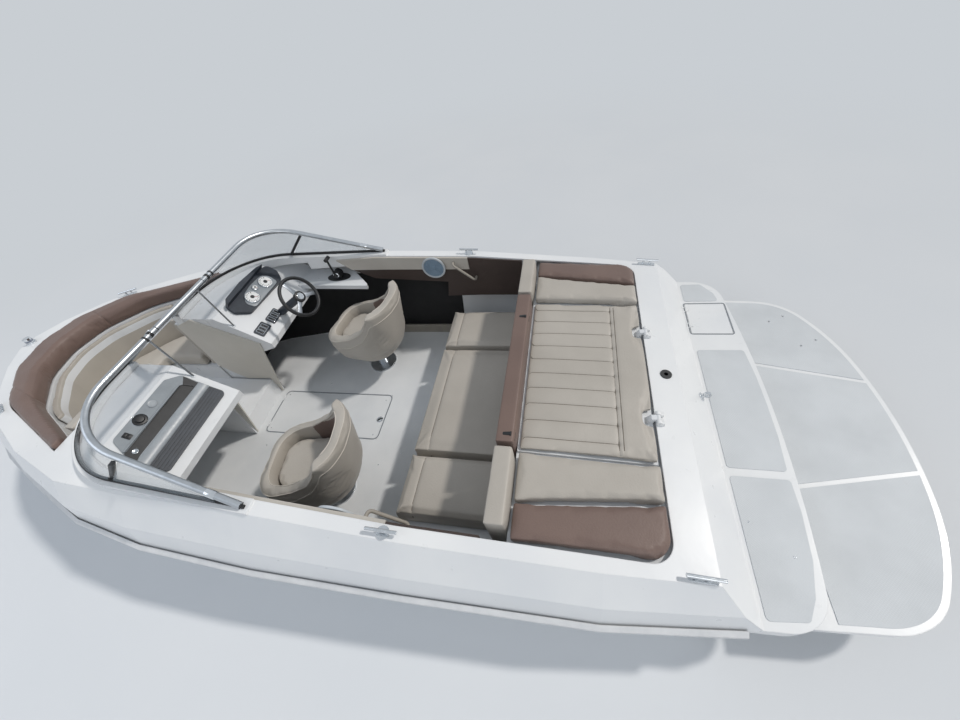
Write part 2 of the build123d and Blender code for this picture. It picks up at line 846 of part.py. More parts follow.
with BuildPart() as bow_backrests:
    with BuildSketch(Plane.XY.offset(bow_seat + touch)) as ring:
        add(bow_outline(bow_inner, bow_inner_radii, 2))
        add(bow_outline(bow_inner, bow_inner_radii, back_thick), mode=Mode.SUBTRACT)
        with Locations((3700, 0)):
            Rectangle(440, 1800, mode=Mode.SUBTRACT)
    extrude(ring.sketch, amount=coaming_top - bow_seat - touch)
    for y_low in (228, -700):
        block(3495, 3570, y_low, y_low + 472, bow_seat + touch, 925)
finish(bow_backrests, "bow_backrests")

# Windscreen
gasket_width = 16
gasket_high = 12
tube_radius = 17
post_width = 20
pane_thick = 5


# Centre section of the windscreen, hinged on its port edge
centre_foot = (3409, 984)
centre_top = (2889, 1277)
centre_lean = atan2(centre_top[1] - centre_foot[1], centre_foot[0] - centre_top[0])
centre_length = hypot(centre_foot[0] - centre_top[0], centre_top[1] - centre_foot[1])
centre_half = walk_half - 3
centre_thick = 14
screen_pin_y = walk_half - 0.5
screen_pin_up = 19
screen_hinges = (100, 500)
centre_plane = Plane(
    origin=(centre_foot[0], 0, centre_foot[1]),
    x_dir=(-cos(centre_lean), 0, sin(centre_lean)),
    z_dir=(sin(centre_lean), 0, cos(centre_lean)),
)


def screen_point(along, y, up):
    """A point by its distance up the centre screen, its y and its height off the pane."""
    return (
        centre_foot[0] - along * cos(centre_lean) + up * sin(centre_lean),
        y,
        centre_foot[1] + along * sin(centre_lean) + up * cos(centre_lean),
    )


def screen_block(along, length, y0, y1, up0, up1):
    """Adds a box in the centre screen's frame, centred at a distance up it."""
    with BuildSketch(centre_plane.offset(up0)) as face:
        with Locations((along, -(y0 + y1) / 2)):
            Rectangle(length, abs(y1 - y0))
    extrude(face.sketch, amount=up1 - up0)


def screen_rod(start, end, radius, mode=Mode.ADD):
    """A round bar on the centre screen's hinge axis."""
    rod(
        screen_point(start, screen_pin_y, screen_pin_up),
        screen_point(end, screen_pin_y, screen_pin_up),
        radius,
        mode=mode,
    )


def screen_side(side, name):
    """Top rail tube, foot gasket, mullion, end post and strut of one side."""
    with BuildPart() as frame:
        foot_line = foot_plane.offset(gasket_high / 2)
        with BuildLine(foot_line) as foot:
            FilletPolyline(*foot_points(walk_half + 2), radius=screen_radius)
        with BuildSketch(Plane(origin=foot.line @ 0, z_dir=foot.line % 0)) as gasket:
            RectangleRounded(gasket_width, gasket_width, 2)
        sweep(gasket.sketch, path=foot.line)
        split(bisect_by=foot_plane, keep=Keep.TOP)
        with BuildLine(top_plane) as top:
            FilletPolyline(*top_points(walk_half + 2), radius=top_radius)
        with BuildSketch(Plane(origin=top.line @ 0, z_dir=top.line % 0)) as tube:
            Circle(tube_radius)
        sweep(tube.sketch, path=top.line)
        side_outline(((2815, 960), (2839, 960), (2625, 1150), (2601, 1150)), 946, 968)
        side_outline(
            ((3395, 978), (3421, 984), (2900, 1284), (2878, 1270)),
            walk_half + 2,
            walk_half + 2 + post_width,
        )
        # Strut down to the dash
        rod((2985, 234, 858), (3015, 230, 1195), 6)
        with BuildSketch(dash_plane(touch)) as shoe:
            with Locations(((2985 - dash_low[0]) / cos(dash_lean) + 3, 234)):
                Circle(13)
        extrude(shoe.sketch, amount=4)
        # Fixed knuckles of the centre screen's hinges, on the port side only
        if side > 0:
            for along in screen_hinges:
                for end in (-20, 20):
                    screen_block(along + end, 20, screen_pin_y, walk_half + 8, 0, screen_pin_up)
                    screen_rod(along + end - 10, along + end + 10, 7)
                screen_rod(along - 32, along + 32, 3 + pin_run, mode=Mode.SUBTRACT)
    with BuildPart() as placed:
        if side > 0:
            add(frame.part)
        else:
            add(mirror(frame.part, about=Plane.XZ, mode=Mode.PRIVATE))
    finish(placed, name)


screen_side(1, "windscreen_frame_port")
screen_side(-1, "windscreen_frame_starboard")


def band(plane, maker, radius, y_end, start, half):
    """Closed strip of the pane's thickness along one edge line."""
    with BuildSketch(plane) as strip:
        with BuildLine():
            outer = FilletPolyline(*maker(y_end, half, start), radius=radius + half)
            inner = FilletPolyline(*maker(y_end, -half, start), radius=radius - half)
            Line(outer @ 0, inner @ 0)
            Line(outer @ 1, inner @ 1)
        make_face()
    return strip.sketch


with BuildPart() as windscreen_glass:
    low = band(
        foot_plane.offset(gasket_high + 2 + touch), foot_points, screen_radius,
        walk_half + post_width + 4, 150, pane_thick / 2,
    )
    high = band(
        top_plane.offset(-tube_radius - touch), top_points, top_radius,
        walk_half + post_width + 4, 160, pane_thick / 2,
    )
    loft(sections=[low, high], ruled=True)
    side_outline(((2809, 960), (2845, 960), (2631, 1150), (2595, 1150)), 800, 1100, mode=Mode.SUBTRACT)
    mirror(about=Plane.XZ)
finish(windscreen_glass, "windscreen_glass")

with BuildPart() as centre_screen_frame:
    with BuildSketch(centre_plane.offset(-centre_thick / 2)) as face:
        with Locations((centre_length / 2, 0)):
            Rectangle(centre_length, 2 * centre_half)
            Rectangle(centre_length - 44, 2 * centre_half - 44, mode=Mode.SUBTRACT)
    extrude(face.sketch, amount=centre_thick)
    rod((centre_top[0], -centre_half, centre_top[1]), (centre_top[0], centre_half, centre_top[1]), tube_radius)
    for along in screen_hinges:
        screen_block(along, 19.4, screen_pin_y - 12, screen_pin_y, 5, screen_pin_up)
        screen_rod(along - 9.7, along + 9.7, 7)
        screen_rod(along - 30, along + 30, 3)
finish(centre_screen_frame, "centre_screen_frame")

with BuildPart() as centre_screen_glass:
    with BuildSketch(centre_plane.offset(-pane_thick / 2)) as face:
        with Locations((centre_length / 2, 0)):
            Rectangle(centre_length - 44 - 2 * touch, 2 * centre_half - 44 - 2 * touch)
    extrude(face.sketch, amount=pane_thick)
finish(centre_screen_glass, "centre_screen_glass")

# Bucket seats on pedestals. Columns: name, pivot x, pivot y, turned to port in degrees
seats = (("helm", 2190, -560, -8), ("port", 2120, 600, 8))
pedestal_top = 350
with BuildPart() as seat_pedestals:
    for name, x, y, turn in seats:
        base = (x, y, sole_top + touch)
        rod(base, (x, y, sole_top + 12), 115)
        rod(base, (x, y, pedestal_top), 38)
        rod((x, y, pedestal_top - 8), (x, y, pedestal_top), 100)
finish(seat_pedestals, "seat_pedestals")

seat_half = 250
seat_front = 265
seat_back = 290
back_lean = 90
seat_rim = 850
shell_thick = 66
seat_pan = 410
cushion_gap = 4


def seat_outline(z, inset):
    """Plan outline of the bucket at a height; its back leans aft as it rises."""
    shift = back_lean * (z - pedestal_top) / (seat_rim - pedestal_top)
    with BuildSketch(Plane.XY.offset(z)) as outline:
        with BuildLine():
            Polyline(
                (seat_front - inset, -seat_half + inset),
                (seat_front - inset, seat_half - inset),
                (-seat_back - shift + inset, seat_half - inset),
                (-seat_back - shift + inset, -seat_half + inset),
                close=True,
            )
        make_face()
        corners = outline.vertices().sort_by(Axis.X)
        fillet(corners[:2], 0.8 * (seat_half - inset))
        corners = outline.vertices().sort_by(Axis.X)
        fillet(corners[-2:], 0.7 * (seat_half - inset))
    return outline.sketch


for name, x, y, turn in seats:
    with BuildPart(mode=Mode.PRIVATE) as bucket:
        loft(sections=[seat_outline(pedestal_top + touch, 24), seat_outline(470, 0), seat_outline(seat_rim, 0)], ruled=True)
        loft(
            sections=[seat_outline(seat_pan, shell_thick + 8), seat_outline(seat_rim + 40, shell_thick - 8)],
            ruled=True,
            mode=Mode.SUBTRACT,
        )
        side_outline(
            (
                (-270, seat_rim + 60),
                (-240, 790),
                (-160, 700),
                (-20, 625),
                (150, 578),
                (400, 552),
                (400, seat_rim + 60),
            ),
            -400,
            400,
            mode=Mode.SUBTRACT,
        )
    with BuildPart(mode=Mode.PRIVATE) as cushions:
        loft(
            sections=[
                seat_outline(seat_pan + touch, shell_thick + 8 + cushion_gap),
                seat_outline(520, shell_thick + 8 + cushion_gap),
            ],
            ruled=True,
        )
    spot = Location((x, y, 0), (0, 0, turn))
    with BuildPart() as seat_shell:
        add(bucket.part.moved(spot))
    finish(seat_shell, f"{name}_seat_shell")
    with BuildPart() as seat_cushion:
        add(cushions.part.moved(spot))
    finish(seat_cushion, f"{name}_seat_cushion")

# Helm: wheel on its column, instrument pod, switches and throttle
wheel_centre = Vector(2560, -520, 880)
column_dip = 30
column_dir = Vector(cos(radians(column_dip)), 0, -sin(radians(column_dip)))
wheel_plane = Plane(origin=wheel_centre, x_dir=(0, 1, 0), z_dir=-column_dir)
wheel_radius = 150
shaft_radius = 10
with BuildPart() as steering_wheel:
    with BuildSketch(wheel_plane * Plane.XZ) as rim:
        with Locations((wheel_radius, 0)):
            Circle(14)
    revolve(rim.sketch, axis=Axis(wheel_centre, -column_dir))
    with BuildSketch(wheel_plane.offset(-22)) as hub:
        Circle(42)
    extrude(hub.sketch, amount=30)
    with BuildSketch(wheel_plane.offset(-12)) as spokes:
        with PolarLocations(0, 3, start_angle=-90):
            with Locations((wheel_radius / 2 + 10, 0)):
                Rectangle(wheel_radius - 20, 34)
    extrude(spokes.sketch, amount=9)
    rod(wheel_centre + column_dir * 10, wheel_centre + column_dir * 86, shaft_radius)
finish(steering_wheel, "steering_wheel")

pod_outline = ((210, -800), (236, -390), (325, -325), (414, -350), (420, -560), (400, -760), (365, -862), (280, -862))
pod_low = 34
pod_high = 78
# Gauges. Columns: distance up the dash, y, radius
gauges = ((293, -508, 50), (290, -690, 50), (322, -602, 22))
switch_panels = ((70, 150, -360, -245), (62, 138, -520, -390))
with BuildPart() as helm_dash:
    dash_slab(pod_outline, touch, pod_low, radius=40)
    # Eyebrow round the pod's upper edge
    with BuildSketch(dash_plane(pod_low)) as brow:
        with BuildLine():
            Polyline(*pod_outline, close=True)
        make_face()
        fillet(brow.vertices(), 40)
        with BuildSketch(mode=Mode.PRIVATE) as opened:
            with Locations((250, -600)):
                Rectangle(260, 700)
        add(opened.sketch, mode=Mode.SUBTRACT)
    extrude(brow.sketch, amount=pod_high - pod_low)
    for up, y, radius in gauges:
        with BuildSketch(dash_plane(pod_low + touch)) as bezel:
            with Locations((up, y)):
                Circle(radius)
                Circle(radius - 7, mode=Mode.SUBTRACT)
        extrude(bezel.sketch, amount=10)
    rod(wheel_centre + column_dir * 26, wheel_centre + column_dir * 300, 30)
    rod(wheel_centre + column_dir * 20, wheel_centre + column_dir * 90, shaft_radius + pin_run, mode=Mode.SUBTRACT)
    for up0, up1, y0, y1 in switch_panels:
        dash_slab(((up0, y0), (up1, y0), (up1, y1), (up0, y1)), touch, 8, radius=10)
    add(console_solid.part, mode=Mode.SUBTRACT)
finish(helm_dash, "helm_dash")

# Port dash: a rounded plate with a recess, a bar, a convex band and a ribbed strip
box_outline = ((62, 262), (62, 836), (300, 812), (398, 760), (398, 330), (340, 262))
with BuildPart() as glovebox:
    dash_slab(box_outline, touch, 9, radius=30)
    dash_slab(((236, 300), (236, 796), (304, 800), (304, 320)), 4, 30, radius=10, mode=Mode.SUBTRACT)
    with BuildSketch(Plane.XZ.offset(-268)) as band:
        with Locations((dash_low[0] + 198 * cos(dash_lean) - 9 * sin(dash_lean),
                        dash_low[1] + 198 * sin(dash_lean) + 9 * cos(dash_lean))):
            Ellipse(34, 14, rotation=degrees(dash_lean))
    extrude(band.sketch, amount=-560)
    for i in range(5):
        dash_slab(((78 + 18 * i, 274), (78 + 18 * i, 826), (88 + 18 * i, 826), (88 + 18 * i, 274)), 8, 5)
    rod(
        (dash_low[0] + 312 * cos(dash_lean) - 13 * sin(dash_lean), 330,
         dash_low[1] + 312 * sin(dash_lean) + 13 * cos(dash_lean)),
        (dash_low[0] + 312 * cos(dash_lean) - 13 * sin(dash_lean), 800,
         dash_low[1] + 312 * sin(dash_lean) + 13 * cos(dash_lean)),
        6,
    )
    add(console_solid.part, mode=Mode.SUBTRACT)
finish(glovebox, "glovebox")

lever_x = 2478
lever_y = -905
with BuildPart() as throttle_box:
    with BuildSketch(Plane.XY.offset(shelf_top + touch)) as dish:
        with Locations((lever_x, lever_y - 25)):
            Ellipse(105, 52)
    extrude(dish.sketch, amount=5)
    rod((lever_x, lever_y - 60, shelf_top + 35), (lever_x, lever_y - 6, shelf_top + 35), 34)
    block(lever_x - 34, lever_x + 34, lever_y - 60, lever_y - 6, shelf_top + touch, shelf_top + 35)
    rod((lever_x, lever_y - 8, shelf_top + 38), (lever_x, lever_y + 16, shelf_top + 38), 16)
    rod((lever_x, lever_y + 8, shelf_top + 42), (lever_x + 6, lever_y + 8, 928), 8)
    rod((lever_x + 6, lever_y - 28, 935), (lever_x + 6, lever_y + 26, 935), 15)
finish(throttle_box, "throttle_box")

# Ski locker lid and ladder hatch lid, each with its half of the hinges
with BuildPart() as locker_lid:
    block(
        locker[0] + seam, locker[1] - seam, locker[2] + seam, locker[3] - seam,
        sole_top - lid_thick, sole_top,
    )
    for y in locker_pin_places:
        block(locker[1] - 26, hinge_x, y - 12, y + 12, sole_top - 1, sole_top + 2)
        block(hinge_x - 3, hinge_x, y - 12, y + 12, sole_top, hinge_z)
        rod((hinge_x, y - 12, hinge_z), (hinge_x, y + 12, hinge_z), barrel)
        rod((hinge_x, y - 28, hinge_z), (hinge_x, y + 28, hinge_z), pin)
finish(locker_lid, "locker_lid")

with BuildPart() as ladder_lid:
    block(
        hatch_x0 + lid_gap, hatch_x1 - lid_gap, hatch_y0 + lid_gap, hatch_y1 - lid_gap,
        platform_top - lid_thick + touch, platform_top,
    )
    for y in ladder_pin_places:
        block(hatch_x1 - 24, ladder_x, y - 12, y + 12, platform_top - 1, platform_top + 2)
        block(ladder_x - 3, ladder_x, y - 12, y + 12, platform_top, ladder_z)
        rod((ladder_x, y - 12, ladder_z), (ladder_x, y + 12, ladder_z), barrel)
        rod((ladder_x, y - 28, ladder_z), (ladder_x, y + 28, ladder_z), pin)
finish(ladder_lid, "ladder_lid")

# Platform extension on brackets
ext_top = 310
ext_thick = 42
# Bolt holes in the extension: a rectangle turned on the plate
bolt_centre = (-894, -718)
bolt_turn = 28.4
bolt_short = 112
bolt_long = 260
bolt_radius = 5.0
ext_start = (-440, 1048)
ext_aft = (-1187, 420, 34)
ext_arcs = ((1300, 20.7), (330, 55))
ext_plate = stern_plate(ext_start, ext_aft, ext_arcs)
with BuildPart() as swim_extension:
    with BuildSketch(Plane.XY.offset(ext_top - ext_thick)) as plate:
        add(ext_plate)
    extrude(plate.sketch, amount=ext_thick)
    with Locations(Location((bolt_centre[0], bolt_centre[1], ext_top), (0, 0, bolt_turn))):
        with GridLocations(bolt_short, bolt_long, 2, 2):
            Cylinder(bolt_radius, 3 * ext_thick, mode=Mode.SUBTRACT)
    for y in (-820, -380, 380, 820):
        block(-475, -400, y - 22, y + 22, ext_top - 1, platform_under - touch)
        block(-580, -160, y - 22, y + 22, ext_top - 30, ext_top - 1)
        block(-190, -150, y - 30, y + 30, ext_top - 60, ext_top + 30)
    side_outline(
        (
            (transom_keel_x - touch, -600),
            (transom_rail_x - touch, rail_z(transom_rail_x) + 1),
            (500, rail_z(transom_rail_x) + 1),
            (500, -600),
        ),
        -1500,
        1500,
        mode=Mode.SUBTRACT,
    )
finish(swim_extension, "swim_extension")

# Non-skid pads, as thin plates on the platform and its extension
pad_high = 3
pad_edge = 26
platform_pads = (
    ((-222, -405), (-489, -407), (-505, -200), (-508, 0), (-505, 200), (-489, 402), (-222, 402)),
    ((-222, 446), (-489, 446), (-487, 600), (-464, 811), (-425, 960), (-380, 1048), (-222, 1066)),
    ((-222, -1062), (-355, -1062), (-425, -960), (-440, -876), (-222, -876)),
)
ext_ridges = ((-876, 346, 12.6), (-876, -349, -12.6))
with BuildPart() as step_pads:
    for points in platform_pads:
        plan_outline(points, platform_top + touch, platform_top + pad_high, radius=18)
    with BuildSketch(Plane.XY.offset(ext_top + touch)) as pads:
        add(ext_plate)
        offset(amount=-pad_edge, mode=Mode.REPLACE)
        for x, y, turn in ext_ridges:
            with Locations(Location((x, y, 0), (0, 0, turn))):
                Rectangle(900, 24, mode=Mode.SUBTRACT)
        with Locations((-300, 0)):
            Rectangle(2 * 248, 2400, mode=Mode.SUBTRACT)
    extrude(pads.sketch, amount=pad_high - touch)
    with Locations(Location((bolt_centre[0], bolt_centre[1], ext_top), (0, 0, bolt_turn))):
        with GridLocations(bolt_short, bolt_long, 2, 2):
            Cylinder(bolt_radius + 3, 3 * ext_thick, mode=Mode.SUBTRACT)
finish(step_pads, "step_pads")

# Engine, one plain block
with BuildPart() as engine:
    block(0, 740, -330, 330, engine_low, 430)
finish(engine, "engine")

# Sterndrive. The steering pin and the tilt pins cross at one point, and all the drive's
# own sizes are measured from there.
pivot_x = -235
pivot_z = -20
steer_pin = 12
tilt_pin = 14
ring_half = 28
ring_out = (135, 175)
ring_in = (105, 148)


def transom_x(z):
    """The transom's aft face at a height."""
    rail_height = rail_z(transom_rail_x) + 1
    return transom_keel_x + (transom_rail_x - transom_keel_x) * (z + 600) / (rail_height + 600)


with BuildPart() as gimbal_housing:
    plate_top = pivot_z + 212
    plate_low = pivot_z - 222
    side_outline(
        (
            (transom_x(plate_top) - touch, plate_top),
            (transom_x(plate_top) - 26, plate_top),
            (transom_x(plate_low) - 26, plate_low),
            (transom_x(plate_low) - touch, plate_low),
        ),
        -185,
        185,
    )
    for z in (pivot_z + ring_out[1] + 5, pivot_z - ring_out[1] - 30):
        block(pivot_x - 25, transom_x(z) - 5, -45, 45, z, z + 25)
        rod((pivot_x, 0, z - 5), (pivot_x, 0, z + 30), steer_pin + pin_run, mode=Mode.SUBTRACT)
finish(gimbal_housing, "gimbal_housing")

ram_y = 126
ram_foot = Vector(pivot_x - 70, 0, pivot_z - 190)
ram_eye = Vector(pivot_x - 350, 0, pivot_z - 80)
ram_dir = (ram_eye - ram_foot).normalized()
ram_pin = 9
with BuildPart() as drive_yoke:
    block(
        pivot_x - ring_half, pivot_x + ring_half, -ring_out[0], ring_out[0],
        pivot_z - ring_out[1], pivot_z + ring_out[1],
    )
    block(
        pivot_x - 40, pivot_x + 40, -ring_in[0], ring_in[0],
        pivot_z - ring_in[1], pivot_z + ring_in[1], mode=Mode.SUBTRACT,
    )
    rod((pivot_x, 0, pivot_z + 160), (pivot_x, 0, pivot_z + 203), steer_pin)
    rod((pivot_x, 0, pivot_z - 203), (pivot_x, 0, pivot_z - 160), steer_pin)
    rod((pivot_x, -150, pivot_z), (pivot_x, 150, pivot_z), tilt_pin + pin_run, mode=Mode.SUBTRACT)
    # Arms and pins for the feet of the trim rams
    for side in (1, -1):
        y_low = min(side * 84, side * 100)
        side_outline(
            (
                (pivot_x + ring_half, pivot_z - 150),
                (pivot_x + ring_half, pivot_z - 175),
                (ram_foot.X + 20, ram_foot.Z - 20),
                (ram_foot.X - 18, ram_foot.Z - 16),
                (ram_foot.X - 18, ram_foot.Z + 16),
                (pivot_x - ring_half, pivot_z - 150),
            ),
            y_low,
            y_low + 16,
        )
        rod(
            (ram_foot.X, min(side * 86, side * 146), ram_foot.Z),
            (ram_foot.X, max(side * 86, side * 146), ram_foot.Z),
            ram_pin,
        )
finish(drive_yoke, "drive_yoke")

prop_z = pivot_z - 550
prop_x = pivot_x - 455
plate_z = pivot_z - 348
# Straight lengths of the leg. Columns: low, high, front, back, half-width, taper above, taper below
leg_lengths = (
    (-520, -160, -150, -372, 34, 0, 0),
    (-150, 78, -156, -386, 76, 32, 40),
)
# Half of one such section. Columns: share of its length from the front, share of its half-width
leg_half = ((0, 0.3), (0.1, 0.7), (0.3, 1), (0.72, 1), (0.93, 0.6), (1, 0.3))
with BuildPart() as drive_leg:
    for low, high, front, back, half, above, below in leg_lengths:
        port = [(pivot_x + front + (back - front) * part, half * wide) for part, wide in leg_half]
        starboard = [(x, -y) for x, y in reversed(port)]
        for start, amount, taper in ((low, high - low, 0), (high, above, 40), (low, -below, 40)):
            if amount:
                with BuildSketch(Plane.XY.offset(pivot_z + start)) as cut:
                    with BuildLine():
                        Polyline(*port, *starboard, close=True)
                    make_face()
                extrude(cut.sketch, amount=amount, taper=taper)
    # Bell housing and its flange
    rod((pivot_x + 40, 0, pivot_z), (pivot_x - 120, 0, pivot_z), 60)
    block(pivot_x - 165, pivot_x - 112, -60, 60, pivot_z - 85, pivot_z + 56)
    for side in (1, -1):
        rod((pivot_x, side * 50, pivot_z), (pivot_x, side * 130, pivot_z), tilt_pin)
    # Plate above the propeller
    plan_outline(
        (
            (pivot_x - 130, -30),
            (pivot_x - 130, 30),
            (pivot_x - 230, 92),
            (pivot_x - 545, 104),
            (pivot_x - 575, 60),
            (pivot_x - 575, -60),
            (pivot_x - 545, -104),
            (pivot_x - 230, -92),
        ),
        plate_z,
        plate_z + 11,
    )
    # Gearcase and skeg
    with BuildSketch(Plane(origin=(prop_x, 0, prop_z), x_dir=(1, 0, 0), z_dir=(0, -1, 0))) as case:
        with BuildLine():
            outer = Polyline((5, 0), (5, 44), (60, 52), (230, 50), (300, 36), (342, 16), (351, 5), (351, 0))
            Line(outer @ 1, outer @ 0)
        make_face()
    revolve(case.sketch, axis=Axis((prop_x, 0, prop_z), (1, 0, 0)))
    side_outline(
        (
            (pivot_x - 190, prop_z - 30),
            (pivot_x - 400, prop_z - 30),
            (pivot_x - 404, prop_z - 170),
            (pivot_x - 330, prop_z - 205),
            (pivot_x - 300, prop_z - 190),
        ),
        -6,
        6,
    )
    # Pins for the trim rams, and the propeller shaft's bore
    rod((ram_eye.X, -92, ram_eye.Z), (ram_eye.X, 92, ram_eye.Z), 10)
    rod((prop_x, 0, prop_z), (prop_x + 75, 0, prop_z), tilt_pin + pin_run, mode=Mode.SUBTRACT)
finish(drive_leg, "drive_leg")

# Propeller blade sections. Columns: radius, chord, thickness, angle from the axis
blade_sections = ((36, 96, 11, 34), (80, 128, 9, 52), (130, 142, 7, 64), (172, 104, 5, 70), (186, 44, 4, 72))
with BuildPart() as propeller:
    rod((prop_x, 0, prop_z), (prop_x - 118, 0, prop_z), 44)
    rod((prop_x + 70, 0, prop_z), (prop_x - 10, 0, prop_z), tilt_pin)
    for turn in (90, 210, 330):
        out = Vector(0, cos(radians(turn)), sin(radians(turn)))
        across = Vector(0, -sin(radians(turn)), cos(radians(turn)))
        faces = []
        for radius, chord, thick, pitch in blade_sections:
            along = Vector(1, 0, 0) * cos(radians(pitch)) + across * sin(radians(pitch))
            root = Vector(prop_x - 60, 0, prop_z) + out * radius
            with BuildSketch(Plane(origin=root, x_dir=along, z_dir=out)) as cut:
                RectangleRounded(chord, thick, thick * 0.45)
            faces.append(cut.sketch)
        loft(sections=faces, ruled=True)
finish(propeller, "propeller")

ram_radius = 24
ram_rod = 10
with BuildPart() as trim_cylinders:
    for side in (1, -1):
        foot = Vector(ram_foot.X, side * ram_y, ram_foot.Z)
        rod(foot - Vector(0, 18, 0), foot + Vector(0, 18, 0), 22)
        rod(foot, foot + ram_dir * 232, ram_radius)
        rod(foot + ram_dir * 32, foot + ram_dir * 240, ram_rod + pin_run, mode=Mode.SUBTRACT)
        rod(foot - Vector(0, 30, 0), foot + Vector(0, 30, 0), ram_pin + pin_run, mode=Mode.SUBTRACT)
finish(trim_cylinders, "trim_cylinders")

with BuildPart() as trim_rods:
    for side in (1, -1):
        foot = Vector(ram_foot.X, side * ram_y, ram_foot.Z)
        eye = Vector(ram_eye.X, side * ram_y, ram_eye.Z)
        rod(foot + ram_dir * 62, eye, ram_rod)
        rod(eye - Vector(0, 18, 0), eye + Vector(0, 18, 0), 20)
finish(trim_rods, "trim_rods")

# Deck fittings. Columns: x, half-breadth, round base
cleat_places = ((60, 1002, False), (1343, 1024, True), (4290, 588, False))
horn_radius = 8
with BuildPart() as cleats:
    for x, y, round_base in cleat_places:
        for side in (1, -1):
            top = gunwale_plane(x, side * y)
            turn = 0 if x < 4000 else -side * 30
            with BuildSketch(top.offset(touch)) as foot:
                with Locations(Location((0, 0, 0), (0, 0, turn))):
                    if round_base:
                        Circle(30)
                    else:
                        SlotOverall(112, 26)
            extrude(foot.sketch, amount=5)
            with BuildSketch(top.offset(5)) as legs:
                with Locations(Location((0, 0, 0), (0, 0, turn))):
                    with GridLocations(44, 0, 2, 1):
                        Circle(7)
            extrude(legs.sketch, amount=26)
            axis = Location(top.offset(34)) * Location((0, 0, 0), (0, 0, turn))
            ends = (axis * Location((-72, 0, 0)), axis * Location((72, 0, 0)))
            rod(ends[0].position, ends[1].position, horn_radius)
finish(cleats, "cleats")

with BuildPart() as nav_light:
    top = gunwale_plane(4740, 0)
    with BuildSketch(top.offset(touch)) as foot:
        Circle(34)
    extrude(foot.sketch, amount=10)
    with BuildSketch(top.offset(8)) as lamp:
        Circle(26)
    extrude(lamp.sketch, amount=42)
finish(nav_light, "nav_light")

# Socket for the stern light's pole
socket_bore = 11.0
socket_deep = 40
with BuildPart() as stern_light_socket:
    cap_top = gunwale_plane(light_socket[0], light_socket[1])
    with BuildSketch(cap_top.offset(touch)) as flange:
        Circle(30)
    extrude(flange.sketch, amount=5)
    flange_z = cap_top.origin.Z + touch
    rod((light_socket[0], 0, flange_z), (light_socket[0], 0, flange_z - 44), socket_body)
    rod(
        (light_socket[0], 0, flange_z + 10),
        (light_socket[0], 0, flange_z + 2 - socket_deep),
        socket_bore,
        mode=Mode.SUBTRACT,
    )
finish(stern_light_socket, "stern_light_socket")

eye_bore = 12.0
eye_wide = 14
slope_lean = atan2(700 - rail_z(transom_rail_x) - 1, cap_x - slope_foot_x)
slope_out = Vector(-sin(slope_lean), 0, cos(slope_lean))
eye_foot = Vector(slope_foot_x + 57 / tan(slope_lean), 0, rail_z(transom_rail_x) + 1 + 57)
eye_centre = eye_foot + slope_out * 34
with BuildPart() as tow_eye:
    rod(eye_foot + slope_out * touch, eye_foot + slope_out * 6, 25)
    rod(eye_foot + slope_out * 4, eye_centre - slope_out * 14, 8)
    rod(eye_centre - Vector(0, eye_wide / 2, 0), eye_centre + Vector(0, eye_wide / 2, 0), 21)
    rod(
        eye_centre - Vector(0, eye_wide, 0), eye_centre + Vector(0, eye_wide, 0), eye_bore,
        mode=Mode.SUBTRACT,
    )
finish(tow_eye, "tow_eye")

# Bow eye on the stem
stem_row, stem_after = lines[9], lines[10]
stem_lean = atan2(stem_after[1] - stem_row[1], stem_after[0] - stem_row[0])
stem_out = Vector(sin(stem_lean), 0, -cos(stem_lean))
stem_foot = Vector(stem_row[0] + 25, 0, stem_row[1] + 25 * tan(stem_lean))
bow_eye_centre = stem_foot + stem_out * 32
with BuildPart() as bow_eye:
    rod(stem_foot - stem_out * 12, stem_foot + stem_out * 8, 22)
    rod(stem_foot, bow_eye_centre - stem_out * 14, 8)
    rod(bow_eye_centre - Vector(0, eye_wide / 2, 0), bow_eye_centre + Vector(0, eye_wide / 2, 0), 21)
    rod(
        bow_eye_centre - Vector(0, eye_wide, 0), bow_eye_centre + Vector(0, eye_wide, 0), eye_bore,
        mode=Mode.SUBTRACT,
    )
    add(outside, mode=Mode.SUBTRACT)
finish(bow_eye, "bow_eye")
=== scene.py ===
# %% [markdown]
# # An open runabout, dressed round its CAD frame
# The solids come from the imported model. This file gives each hard part a finish and sews
# every cushion anew, because a cushion's swelling and seams are cloth work and not CAD work.

from math import atan2, cos, exp, pi, radians, sin

import bpy
from mathutils import Matrix, Vector


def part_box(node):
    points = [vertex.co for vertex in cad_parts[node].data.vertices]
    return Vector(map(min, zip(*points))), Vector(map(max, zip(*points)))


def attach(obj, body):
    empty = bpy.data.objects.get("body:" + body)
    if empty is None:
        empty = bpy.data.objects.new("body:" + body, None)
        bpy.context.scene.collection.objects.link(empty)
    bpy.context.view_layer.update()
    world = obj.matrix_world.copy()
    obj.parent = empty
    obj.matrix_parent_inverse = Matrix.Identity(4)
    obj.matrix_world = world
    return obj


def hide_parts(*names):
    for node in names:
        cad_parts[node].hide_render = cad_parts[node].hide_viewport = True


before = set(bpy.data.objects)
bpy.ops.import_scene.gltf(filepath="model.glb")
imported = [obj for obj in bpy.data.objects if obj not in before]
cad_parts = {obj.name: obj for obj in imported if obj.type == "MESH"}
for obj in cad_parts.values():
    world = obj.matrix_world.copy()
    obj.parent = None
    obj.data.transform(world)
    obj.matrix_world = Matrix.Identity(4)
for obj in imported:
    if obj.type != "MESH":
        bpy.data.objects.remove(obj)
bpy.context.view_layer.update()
scene = bpy.context.scene
scene.view_settings.view_transform = "Standard"

# %% [markdown]
# The picture is taken by a wide lens from above the boat's port quarter, with the bow to the
# left. The camera's place and turn are given as three directions, which makes one matrix.

